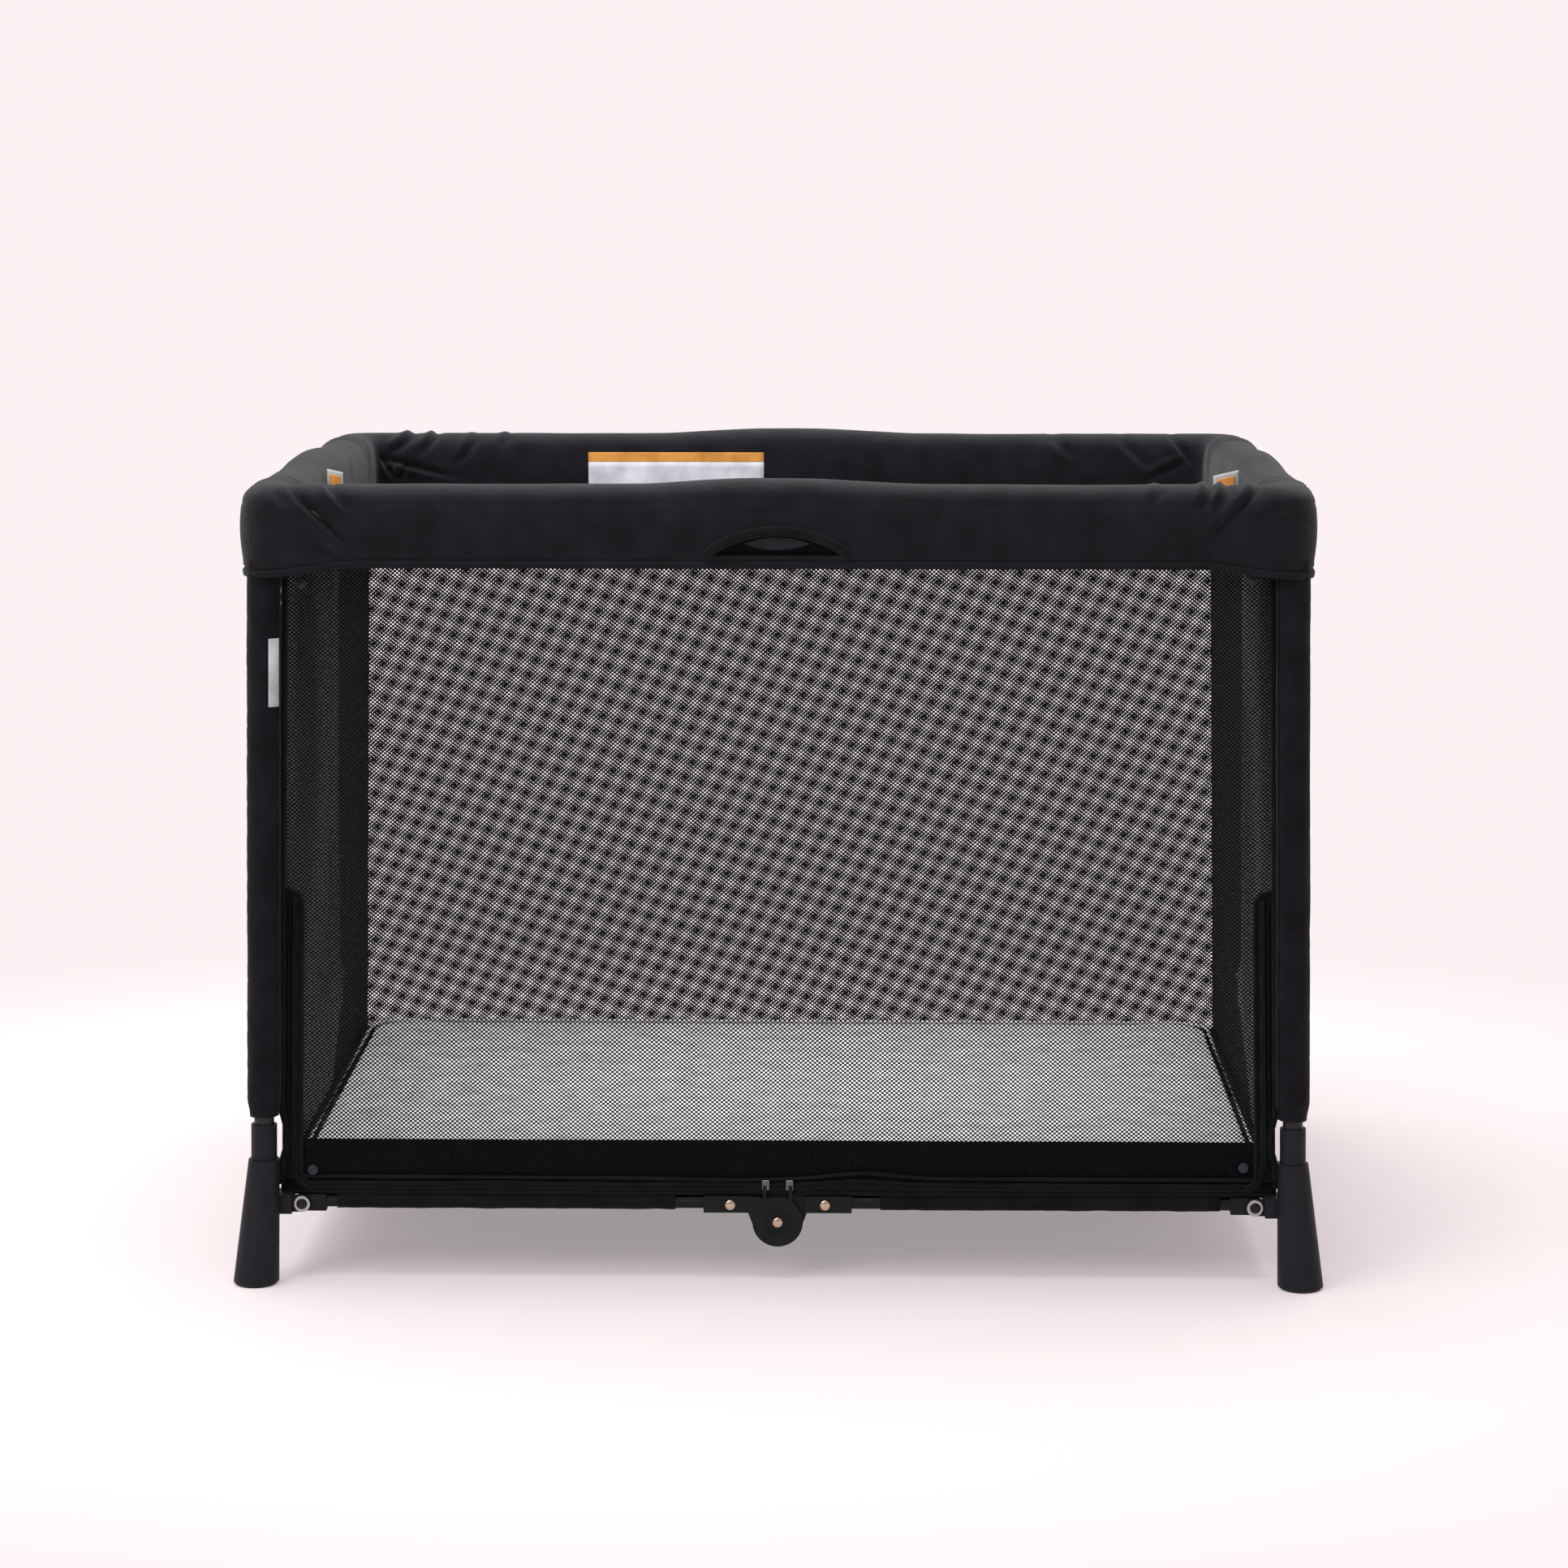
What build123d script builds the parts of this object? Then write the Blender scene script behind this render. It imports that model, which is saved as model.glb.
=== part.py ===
"""Folding playpen: four sleeved legs, four padded top rails and four lower rails that break at
the middle, mesh walls, a fabric floor and a pad.  Millimetres, +Z up, front is -Y, and the
origin is the centre of the footprint on the floor."""
import os

from build123d import *

# ---------------------------------------------------------------- overall sizes
cover_length = 1060.0       # outside of the padded rim, left to right
cover_width = 760.0         # outside of the padded rim, front to back
rim_height = 808.0          # top of the padded rim above the floor

# ---------------------------------------------------------------- padded rim covers
cover_thickness = 52.0
cover_drop = 90.0           # rim top to the hem
cover_skin = 2.4            # cloth outside the rail
cover_pad = 6.5             # padding on the top and on the inner side
cover_corner = 26.0         # outer corner radius in plan
cover_edge = 14.0           # rounding of the long top edges
cover_gap = 1.0             # between the mitred ends of two covers
lug_headroom = 3.0          # top of the latch's lugs to the raised cloth over them
hump_half_top = 32.0
hump_half_foot = 62.0
window_half = 62.0          # arched opening that shows the release button
window_rise = 34.0          # hem of the opening to its crown
window_lift = 18.0          # hem of the cover to the hem of the opening

# ---------------------------------------------------------------- legs
leg_inset = 23.0            # outside of the rim to the leg axis at the top rail
leg_splay = 12.0            # outward lean between the top and the lower rail, in X and in Y
leg_tube_radius = 10.0
leg_tube_wall = 1.2
leg_tube_foot = 45.0        # lower end of the tube
sleeve_radius = 17.0
sleeve_foot = 172.0         # lower end of the padded sleeve
sleeve_top_gap = 13.0       # sleeve to the corner hub
hub_wall = 2.5
hub_grip = 28.0             # hub below the rail axis
hub_cap = 16.0              # hub above the rail axis
cloth_gap = 0.2             # cloth or plastic around a tube in one body

# ---------------------------------------------------------------- feet
foot_radius = 23.2
foot_neck_radius = 15.6
foot_neck_height = 127.0
foot_flare = 7.0            # the foot's base stands further out than the leg axis
collar_radius = 13.0
collar_top = 163.0
foot_edge = 3.0

# ---------------------------------------------------------------- hinges shared by all rails
rail_end_inset = 25.0       # leg axis to the rail's end pivot, at the top
knuckle_offset = 18.0       # rail axis to the middle pivot
pin_radius = 3.0
bolt_radius = 4.0
pin_clearance = 0.05
side_gap = 0.4              # between parts that turn past each other

# ---------------------------------------------------------------- top rails
top_rail_drop = 30.0        # rim top to the rail axis
top_rail_radius = 9.0
top_rail_wall = 1.2
top_rail_over = 6.0         # tube past its end pivot
cheek_thickness = 5.6
cheek_radius = 9.0
latch_half = 30.0           # latch body, middle pivot to the tube
latch_below = 15.0          # latch body under the rail axis
latch_above = 12.0
latch_inner = 11.0          # rail axis to the latch's inner face
lug_radius = 8.0
lug_thickness = 5.0
spigot_length = 32.0
button_length = 66.0
button_height = 12.0
button_depth = 14.0
button_travel = 5.0
stem_size = 8.0
stem_offset = 12.0
stem_height = 23.0

# ---------------------------------------------------------------- lower rails
lower_rail_height = 78.0    # axis above the floor
lower_plane_gap = 19.0      # the lower rails stand this far inside the top rails
lower_rail_radius = 5.5
lower_rail_wall = 1.0
fitting_height = 17.0
fitting_thickness = 13.0
fitting_length = 24.0       # pivot to the bare tube
bracket_thickness = 4.0
knuckle_radius = 25.6
knuckle_thickness = 14.0
knuckle_near = 28.0         # grip block, nearest to the middle pivot
knuckle_far = 75.0
cheek_plate = 4.5
rivet_place = 48.0
rivet_head_radius = 5.2
rivet_head_height = 2.2
washer_radius = 8.7
washer_thickness = 1.6
bolt_head_radius = 5.6
bolt_head_height = 3.0
nut_radius = 6.5
nut_thickness = 3.0

# ---------------------------------------------------------------- cloth and pad
wall_thickness = 3.0
wall_foot = 91.0
wall_tuck = 6.0             # wall top inside the cover
wall_inset_top = 43.0       # outside of the rim to the wall, at the hem
wall_inset_foot = 29.0
wall_corner_gap = 0.4
floor_thickness = 2.7
floor_height = 79.0
floor_clearance = 6.0
pad_length = 980.0
pad_width = 680.0
pad_thickness = 37.0
pad_corner = 36.0
pad_edge = 9.0
pad_gap = 0.3
slider_height = 98.0
slider_offset = 12.0
slider_size = (8.0, 4.0, 11.0)
pull_size = (3.4, 1.2, 22.0)
slider_gap = 0.4

# ---------------------------------------------------------------- derived places
half_length = cover_length / 2
half_width = cover_width / 2
top_rail_z = rim_height - top_rail_drop
hem_z = rim_height - cover_drop
rail_half_long = half_length - leg_inset - rail_end_inset
rail_half_end = half_width - leg_inset - rail_end_inset
top_plane_inset = cover_skin + 0.6 + top_rail_radius
lower_plane_inset = top_plane_inset + lower_plane_gap
hub_radius = leg_tube_radius + cloth_gap / 2 + hub_wall
hump_height = knuckle_offset + lug_radius + lug_headroom + cover_pad - top_rail_drop
parts = {}


# ---------------------------------------------------------------- helpers
def block(x_range, y_range, z_range):
    """A box between two limits on each axis."""
    low = Vector(x_range[0], y_range[0], z_range[0])
    high = Vector(x_range[1], y_range[1], z_range[1])
    size = high - low
    centre = (low + high) * 0.5
    return Location(centre) * Box(size.X, size.Y, size.Z)


def rod(start, end, radius):
    """A round bar between two points."""
    axis = Vector(*end) - Vector(*start)
    plane = Plane(origin=start, z_dir=axis.normalized())
    return plane * Cylinder(radius, axis.length, align=(Align.CENTER, Align.CENTER, Align.MIN))


def pipe(start, end, radius, bore):
    """A round tube between two points."""
    axis = (Vector(*end) - Vector(*start)).normalized()
    return rod(start, end, radius) - rod(Vector(*start) - axis, Vector(*end) + axis, bore)


def plate(points, y_range):
    """A flat outline of (x, z) points, as thick as y_range."""
    outline = make_face(Polyline(*[(x, y_range[0], z) for x, z in points], close=True))
    return extrude(outline, amount=y_range[1] - y_range[0], dir=(0, 1, 0))


def across(x, z, y_range, radius):
    """A round bar along Y."""
    return rod((x, y_range[0], z), (x, y_range[1], z), radius)


def swap(shape):
    """Turn a front part into the matching left-end part, by swapping X and Y."""
    return mirror(shape, about=Plane(origin=(0, 0, 0), z_dir=(1, -1, 0)))


def to_back(shape):
    return mirror(shape, about=Plane.XZ)


def to_right(shape):
    return mirror(shape, about=Plane.YZ)


def keep(name, *pieces):
    """Store one node; several pieces stay separate solids."""
    solids = [solid for piece in pieces for solid in piece.solids()]
    parts[name] = solids[0] if len(solids) == 1 else Compound(children=solids)


def leg_axis(z):
    """The front left leg's axis at a height."""
    out = leg_splay * (top_rail_z - z) / (top_rail_z - lower_rail_height)
    return Vector(-(half_length - leg_inset + out), -(half_width - leg_inset + out), z)


# ---------------------------------------------------------------- one corner: leg, hub, foot, bolts
def make_corner():
    """Front left leg tube, sleeve, hub with its two pins, foot, and the two rail bolts."""
    axis_top = leg_axis(top_rail_z)
    tube_top = leg_axis(top_rail_z + hub_cap / 2)
    tube = pipe(leg_axis(leg_tube_foot), tube_top, leg_tube_radius, leg_tube_radius - leg_tube_wall)
    bore = leg_tube_radius + cloth_gap / 2
    sleeve_top = leg_axis(top_rail_z - hub_grip - sleeve_top_gap)
    sleeve = pipe(leg_axis(sleeve_foot), sleeve_top, sleeve_radius, bore)

    post = rod(leg_axis(top_rail_z - hub_grip), leg_axis(top_rail_z + hub_cap), hub_radius)
    pins = []
    for turn, half, side in ((False, rail_half_long, half_width), (True, rail_half_end, half_length)):
        plane = -(side - top_plane_inset)
        inner = plane + top_rail_radius + side_gap
        reach = half_length if not turn else half_width
        cheek = block(
            (-(reach - leg_inset), -half),
            (inner, inner + cheek_thickness),
            (top_rail_z - cheek_radius, top_rail_z + cheek_radius),
        )
        cheek += across(-half, top_rail_z, (inner, inner + cheek_thickness), cheek_radius)
        pin = across(-half, top_rail_z, (plane - top_rail_radius, inner + cheek_thickness), pin_radius)
        cheek -= pin
        post += swap(cheek) if turn else cheek
        pins.append(swap(pin) if turn else pin)
    hub = post - rod(leg_axis(top_rail_z - hub_grip - 1), tube_top, bore)

    base = leg_axis(0) + Vector(-foot_flare, -foot_flare, 0)
    neck = leg_axis(foot_neck_height)
    flare = loft([
        Plane(origin=base) * Circle(foot_radius),
        Plane(origin=neck) * Circle(foot_neck_radius),
    ])
    flare = chamfer(flare.edges().group_by(Axis.Z)[0], foot_edge)
    foot = flare + rod(leg_axis(foot_neck_height - 10), leg_axis(collar_top), collar_radius)
    bolts = []
    corner = []
    for turn, half, side in ((False, rail_half_long, half_width), (True, rail_half_end, half_length)):
        reach = half_length if not turn else half_width
        plane = -(side - lower_plane_inset)
        face = plane - fitting_thickness / 2 - side_gap
        inner = plane + fitting_thickness / 2
        start = -(reach - leg_inset + leg_splay)
        bracket = block(
            (start, -half),
            (face - bracket_thickness, face),
            (lower_rail_height - fitting_height / 2, lower_rail_height + fitting_height / 2),
        )
        bracket += across(
            -half, lower_rail_height, (face - bracket_thickness, face), fitting_height / 2
        )
        shank = across(-half, lower_rail_height, (face - bracket_thickness, inner), bolt_radius)
        bracket -= shank
        outside = face - bracket_thickness
        head = across(-half, lower_rail_height, (outside - washer_thickness, outside), washer_radius)
        head += across(
            -half,
            lower_rail_height,
            (outside - washer_thickness - bolt_head_height, outside - washer_thickness),
            bolt_head_radius,
        )
        nut = across(-half, lower_rail_height, (inner + side_gap, inner + nut_thickness), nut_radius)
        bolt = shank + head + nut + across(
            -half, lower_rail_height, (inner - 1, inner + nut_thickness), bolt_radius
        )
        corner.append(-(reach - lower_plane_inset) + fitting_thickness / 2 + 1)
        foot += swap(bracket) if turn else bracket
        bolts.append(swap(bolt) if turn else bolt)
    foot_axis = leg_axis(lower_rail_height)
    inner_x = min(corner[0], -rail_half_long - fitting_height / 2 - 1)
    inner_y = min(corner[1], -rail_half_end - fitting_height / 2 - 1)
    heel = block(
        (foot_axis.X, inner_x),
        (foot_axis.Y, inner_y),
        (lower_rail_height - fitting_height / 2, lower_rail_height + fitting_height / 2 + 3),
    )
    foot += heel
    foot -= rod(leg_axis(leg_tube_foot), leg_axis(collar_top + 1), bore)
    return {
        "leg_tube": [tube],
        "leg_sleeve": [sleeve],
        "corner_hub": [hub] + pins,
        "leg_foot": [foot],
        "rail_bolts": bolts,
    }


# ---------------------------------------------------------------- top rails
def make_top_rail(half, side):
    """A front-type top rail: its two tubes, two latch bodies with the pin, and the button."""
    y = -(side - top_plane_inset)
    pivot_z = top_rail_z + knuckle_offset
    outer = y - top_rail_radius
    inner = y + latch_inner
    tube_bore = top_rail_radius - top_rail_wall

    def tube():
        body = pipe((-half - top_rail_over, y, top_rail_z), (-latch_half - cloth_gap, y, top_rail_z),
                    top_rail_radius, tube_bore)
        return body - across(-half, top_rail_z, (outer - 1, y + top_rail_radius + 1),
                             pin_radius + pin_clearance)

    def latch_body():
        body = block((-latch_half, -side_gap), (outer, inner),
                     (top_rail_z - latch_below, top_rail_z + latch_above))
        return body + rod((-latch_half - spigot_length, y, top_rail_z), (-latch_half + 1, y, top_rail_z),
                          tube_bore - cloth_gap / 2)

    def lug(y_range):
        """A pivot ear that leans back onto its own latch body."""
        ear = plate(
            [(0, pivot_z), (0, top_rail_z + latch_above - 4), (-lug_radius * 2.6, top_rail_z + latch_above - 4),
             (-lug_radius * 2.6, top_rail_z + latch_above), (-lug_radius * 0.75, pivot_z + lug_radius * 0.66)],
            y_range,
        )
        return ear + across(0, pivot_z, y_range, lug_radius)

    fork_ranges = [(outer, outer + lug_thickness), (inner - lug_thickness, inner)]
    tongue_range = (outer + lug_thickness + side_gap, inner - lug_thickness - side_gap)
    pin = across(0, pivot_z, (outer + 0.1, inner - 0.1), pin_radius)

    fork = latch_body()
    fork -= across(0, pivot_z, (tongue_range[0] - side_gap, tongue_range[1] + side_gap),
                   lug_radius + 0.6)
    for y_range in fork_ranges:
        fork += lug(y_range)
    slot = stem_size / 2 + 0.3
    fork -= block((-stem_offset - slot, -stem_offset + slot), (y - slot, y + slot),
                  (top_rail_z - latch_below - 1, top_rail_z - latch_below + stem_height))
    fork -= pin

    tongue = latch_body()
    for y_range in fork_ranges:
        tongue -= across(0, pivot_z, (y_range[0] - side_gap, y_range[1] + side_gap), lug_radius + 0.6)
    tongue += lug(tongue_range)
    tongue -= across(0, pivot_z, (outer - 1, inner + 1), pin_radius + pin_clearance)
    tongue = to_right(tongue)

    top = top_rail_z - latch_below - button_travel - 1.0
    middle = top - button_height / 2
    half_button = button_length / 2
    upper = ThreePointArc((-half_button, 0, middle), (0, 0, top), (half_button, 0, middle))
    lower = ThreePointArc((half_button, 0, middle), (0, 0, top - button_height), (-half_button, 0, middle))
    lens = extrude(make_face([upper, lower]), amount=button_depth, dir=(0, 1, 0))
    lens = Location((0, y - button_depth / 2, 0)) * lens
    stem = block((-stem_offset - stem_size / 2, -stem_offset + stem_size / 2),
                 (y - stem_size / 2, y + stem_size / 2), (top - 2, top + stem_height - 5))
    return tube(), to_right(tube()), fork, tongue, pin, lens + stem


# ---------------------------------------------------------------- lower rails
def make_lower_rail(half, side):
    """A front-type lower rail: the pieces of its two halves, with the knuckle below the bar."""
    y = -(side - lower_plane_inset)
    z = lower_rail_height
    pivot_z = z - knuckle_offset
    low = y - knuckle_thickness / 2
    high = y + knuckle_thickness / 2
    inside = lower_rail_radius + cloth_gap / 2

    def pieces(cheeks, hole):
        fitting = block((-half, -half + fitting_length), (y - fitting_thickness / 2, y + fitting_thickness / 2),
                        (z - fitting_height / 2, z + fitting_height / 2))
        fitting += across(-half, z, (y - fitting_thickness / 2, y + fitting_thickness / 2),
                          fitting_height / 2)
        fitting -= across(-half, z, (y - fitting_thickness, y + fitting_thickness),
                          bolt_radius + pin_clearance)
        grip = block((-knuckle_far, -knuckle_near), (low, high),
                     (z - fitting_height / 2, z + fitting_height / 2))
        for y_range in cheeks:
            grip += across(0, pivot_z, y_range, knuckle_radius)
            grip += plate(
                [(-knuckle_near - 2, z + fitting_height / 2), (-knuckle_near - 2, z - fitting_height / 2),
                 (-knuckle_radius * 0.8, pivot_z - knuckle_radius * 0.6), (0, pivot_z),
                 (-knuckle_radius * 0.3, pivot_z + knuckle_radius * 0.954)],
                y_range,
            )
        bore = rod((-half + 8, y, z), (-knuckle_near - 6, y, z), inside)
        rivet = across(-rivet_place, z, (low, high), pin_radius)
        heads = across(-rivet_place, z, (low - rivet_head_height, low), rivet_head_radius)
        heads += across(-rivet_place, z, (high, high + rivet_head_height), rivet_head_radius)
        tube = pipe((-half + 8.5, y, z), (-knuckle_near - 6.5, y, z), lower_rail_radius,
                    lower_rail_radius - lower_rail_wall)
        grip = grip - bore - rivet - across(0, pivot_z, (low - 1, high + 1), hole)
        return [tube - rivet, fitting - bore, grip, rivet + heads]

    fork_ranges = [(low, low + cheek_plate), (high - cheek_plate, high)]
    tongue_range = [(low + cheek_plate + side_gap, high - cheek_plate - side_gap)]
    pin = across(0, pivot_z, (low, high), bolt_radius)
    pin += across(0, pivot_z, (low - rivet_head_height, low), rivet_head_radius)
    pin += across(0, pivot_z, (high, high + rivet_head_height), rivet_head_radius)
    first = pieces(fork_ranges, bolt_radius) + [pin]
    second = [to_right(piece) for piece in pieces(tongue_range, bolt_radius + pin_clearance)]
    return first, second


# ---------------------------------------------------------------- covers
def wedge(reach_long, reach_short, swapped):
    """The mitred region of plan that belongs to one front-type cover."""
    inward = cover_thickness * 1.6
    gap = cover_gap / 2
    outline = Polyline(
        (-reach_long + gap, -reach_short, 0),
        (reach_long - gap, -reach_short, 0),
        (reach_long - gap - inward, -reach_short + inward, 0),
        (-reach_long + gap + inward, -reach_short + inward, 0),
        close=True,
    )
    prism = extrude(make_face(outline), amount=rim_height * 2, dir=(0, 0, 1))
    return swap(prism) if swapped else prism


def make_covers():
    """The padded rim as four channel-shaped covers that meet at mitred corners."""
    outer = extrude(Plane.XY.offset(hem_z) * RectangleRounded(cover_length, cover_width, cover_corner),
                    amount=cover_drop)
    inner = extrude(
        Plane.XY.offset(hem_z - 1)
        * RectangleRounded(cover_length - 2 * cover_thickness, cover_width - 2 * cover_thickness, 12),
        amount=cover_drop + 2,
    )
    ring = outer - inner
    ring = fillet(ring.edges().group_by(Axis.Z)[-1], cover_edge)
    hollow_outer = extrude(
        Plane.XY.offset(hem_z - 1)
        * RectangleRounded(cover_length - 2 * cover_skin, cover_width - 2 * cover_skin,
                           cover_corner - cover_skin),
        amount=cover_drop + 1 - cover_pad,
    )
    core = 2 * (cover_thickness - cover_pad)
    hollow_inner = extrude(
        Plane.XY.offset(hem_z - 2) * Rectangle(cover_length - core, cover_width - core),
        amount=cover_drop + 4,
    )
    hollow = hollow_outer - hollow_inner

    def hump(side, rise, shrink):
        top = rim_height + rise
        points = [(-hump_half_foot + shrink, rim_height - cover_edge),
                  (-hump_half_top + shrink / 2, top), (hump_half_top - shrink / 2, top),
                  (hump_half_foot - shrink, rim_height - cover_edge)]
        inset = cover_edge * 0.6
        return plate(points, (-side + inset, -side + cover_thickness - inset))

    def window(side):
        foot = hem_z + window_lift
        arc = ThreePointArc((-window_half, 0, foot), (0, 0, foot + window_rise), (window_half, 0, foot))
        hole = extrude(make_face([arc, Line((window_half, 0, foot), (-window_half, 0, foot))]),
                       amount=cover_skin * 4, dir=(0, 1, 0))
        return Location((0, -side - cover_skin, 0)) * hole

    covers = {}
    for name, side, turn in (("front", half_width, False), ("left", half_length, True)):
        place = swap if turn else (lambda shape: shape)
        body = ring + place(hump(side, hump_height, 0)) - hollow
        pocket_top = rim_height + hump_height - cover_pad
        pocket = block((-hump_half_top, hump_half_top),
                       (-side + cover_skin, -side + cover_thickness - cover_pad),
                       (rim_height - cover_drop / 2, pocket_top))
        body = body - place(pocket) - place(window(side))
        if turn:
            body = body & wedge(half_width, half_length, True)
        else:
            body = body & wedge(half_length, half_width, False)
        covers[name] = body
    return covers


# ---------------------------------------------------------------- walls, floor, pad, sliders
def make_wall(reach, side, corner_trim):
    """A front-type wall that leans in towards the rim."""
    top_z = hem_z + wall_tuck

    def strip(z, inset):
        width = 2 * (reach - inset + wall_thickness / 2 - corner_trim)
        return Plane(origin=(0, -(side - inset), z)) * Rectangle(width, wall_thickness)

    return loft([strip(wall_foot, wall_inset_foot), strip(top_z, wall_inset_top)], ruled=True)


def make_slider():
    """Zip slider with its hanging pull, left of the middle of the front wall."""
    lean = (wall_inset_top - wall_inset_foot) / (hem_z + wall_tuck - wall_foot)
    face = -(half_width - wall_inset_foot - lean * (slider_height - wall_foot)) - wall_thickness / 2
    front = face - slider_gap - slider_size[1]
    body = block((-slider_offset - slider_size[0] / 2, -slider_offset + slider_size[0] / 2),
                 (front, face - slider_gap),
                 (slider_height - slider_size[2] / 2, slider_height + slider_size[2] / 2))
    pull = block((-slider_offset - pull_size[0] / 2, -slider_offset + pull_size[0] / 2),
                 (front - pull_size[1], front),
                 (slider_height + 3 - pull_size[2], slider_height + 3))
    return body + pull


# ---------------------------------------------------------------- assembly
corner = make_corner()
for node, solids in corner.items():
    keep(node + "_front_left", *solids)
    keep(node + "_front_right", *[to_right(solid) for solid in solids])
    keep(node + "_back_left", *[to_back(solid) for solid in solids])
    keep(node + "_back_right", *[to_right(to_back(solid)) for solid in solids])

tube_a, tube_b, fork, tongue, pin, button = make_top_rail(rail_half_long, half_width)
for end, move in (("front", lambda shape: shape), ("back", to_back)):
    keep(f"top_rail_{end}_left", move(tube_a))
    keep(f"top_rail_{end}_right", move(tube_b))
    keep(f"latch_{end}_left", move(fork), move(pin))
    keep(f"latch_{end}_right", move(tongue))
    keep(f"release_button_{end}", move(button))

tube_a, tube_b, fork, tongue, pin, button = make_top_rail(rail_half_end, half_length)
for end, move in (("left", swap), ("right", lambda shape: to_right(swap(shape)))):
    keep(f"top_rail_{end}_front", move(tube_a), move(fork), move(pin))
    keep(f"top_rail_{end}_back", move(tube_b), move(tongue))
    keep(f"release_button_{end}", move(button))

first, second = make_lower_rail(rail_half_long, half_width)
for end, move in (("front", lambda shape: shape), ("back", to_back)):
    keep(f"lower_rail_{end}_left", *[move(piece) for piece in first])
    keep(f"lower_rail_{end}_right", *[move(piece) for piece in second])

first, second = make_lower_rail(rail_half_end, half_length)
for end, move in (("left", swap), ("right", lambda shape: to_right(swap(shape)))):
    keep(f"lower_rail_{end}_front", *[move(piece) for piece in first])
    keep(f"lower_rail_{end}_back", *[move(piece) for piece in second])

covers = make_covers()
keep("rail_cover_front", covers["front"])
keep("rail_cover_back", to_back(covers["front"]))
keep("rail_cover_left", covers["left"])
keep("rail_cover_right", to_right(covers["left"]))

front_wall = make_wall(half_length, half_width, 0)
left_wall = swap(make_wall(half_width, half_length, wall_thickness + wall_corner_gap))
keep("wall_front", front_wall)
keep("wall_back", to_back(front_wall))
keep("wall_left", left_wall)
keep("wall_right", to_right(left_wall))

floor_inset = lower_plane_inset + fitting_thickness / 2 + floor_clearance
floor_sheet = Plane.XY.offset(floor_height) * RectangleRounded(
    cover_length - 2 * floor_inset, cover_width - 2 * floor_inset, 20
)
keep("floor", extrude(floor_sheet, amount=floor_thickness))

pad_outline = Plane.XY.offset(floor_height + floor_thickness + pad_gap) * RectangleRounded(
    pad_length, pad_width, pad_corner
)
pad = extrude(pad_outline, amount=pad_thickness)
pad = fillet(pad.edges().group_by(Axis.Z)[-1] + pad.edges().group_by(Axis.Z)[0], pad_edge)
keep("mattress", pad)

slider = make_slider()
keep("zip_slider_left", slider)
keep("zip_slider_right", to_right(slider))

os.makedirs("parts", exist_ok=True)
for node, shape in parts.items():
    export_step(shape, f"parts/{node}.step")
print(len(parts), "nodes")
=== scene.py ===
from math import cos, exp, pi, radians, sin, sqrt

import bmesh
import bpy
from mathutils import Matrix, Vector, noise


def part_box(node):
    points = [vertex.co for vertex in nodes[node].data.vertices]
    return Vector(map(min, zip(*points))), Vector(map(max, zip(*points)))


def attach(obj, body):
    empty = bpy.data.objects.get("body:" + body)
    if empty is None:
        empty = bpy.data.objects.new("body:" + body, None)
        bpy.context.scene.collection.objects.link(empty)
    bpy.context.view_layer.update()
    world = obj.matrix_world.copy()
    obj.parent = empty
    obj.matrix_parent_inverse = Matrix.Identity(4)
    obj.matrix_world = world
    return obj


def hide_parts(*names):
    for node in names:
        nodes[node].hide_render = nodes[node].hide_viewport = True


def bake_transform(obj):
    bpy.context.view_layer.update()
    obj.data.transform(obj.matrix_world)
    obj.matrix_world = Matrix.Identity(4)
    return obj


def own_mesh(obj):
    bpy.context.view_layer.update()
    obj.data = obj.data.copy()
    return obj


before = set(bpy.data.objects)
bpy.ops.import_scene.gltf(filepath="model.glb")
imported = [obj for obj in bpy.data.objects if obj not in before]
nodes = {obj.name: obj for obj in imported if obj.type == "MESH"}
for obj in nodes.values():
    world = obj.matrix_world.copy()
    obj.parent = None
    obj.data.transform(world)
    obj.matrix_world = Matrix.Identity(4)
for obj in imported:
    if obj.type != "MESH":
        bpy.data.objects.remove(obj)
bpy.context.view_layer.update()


# ---------------------------------------------------------------- places read from the frame
boxes = {}


def box(node):
    """A node's lowest and highest corners at rest, measured once."""
    if node not in boxes:
        low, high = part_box(node)
        boxes[node] = Vector(low), Vector(high)
    return boxes[node]


HUMP = 0.0055                                   # raised middle of each rim cover
cover_low, cover_high = box("rail_cover_front")
side_low, side_high = box("rail_cover_right")
RIM_TOP = cover_high.z - HUMP
RIM_X = side_high.x                             # outside of the rim, right
RIM_Y = -box("rail_cover_front")[0].y           # outside of the rim, front and back
RIM_THICK = 0.052
HEM = cover_low.z
RAIL_Z = sum(v.z for v in box("top_rail_front_left")) / 2
BAR_Z = box("lower_rail_front_left")[0].z + 0.0436
BAR_Y = -sum(v.y for v in box("lower_rail_front_left")) / 2
BAR_X = sum(v.x for v in box("lower_rail_right_front")) / 2
wall_low, wall_high = box("wall_front")
WALL_FOOT = wall_low.z
WALL_TOP = wall_high.z
CLOTH = 0.0015

HANDS = (("left", -1), ("right", 1))
ENDS = (("front", -1), ("back", 1))
CORNERS = (("front_left", -1, -1), ("front_right", 1, -1), ("back_left", -1, 1), ("back_right", 1, 1))


def leg_axis(sx, sy, z):
    """The axis of the leg on side sx, sy at a height, from its tube's box."""
    low, high = box("leg_tube_back_right")
    radius = 0.010
    share = (high.z - z) / (high.z - low.z)
    x = low.x + radius + (high.x - low.x - 2 * radius) * share
    y = low.y + radius + (high.y - low.y - 2 * radius) * share
    return Vector((sx * x, sy * y, z))


def wall_y(z):
    """How far the front and back walls stand from the middle, at a height."""
    share = (z - WALL_FOOT) / (WALL_TOP - WALL_FOOT)
    return -wall_low.y - 0.0015 - 0.014 * share


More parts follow.
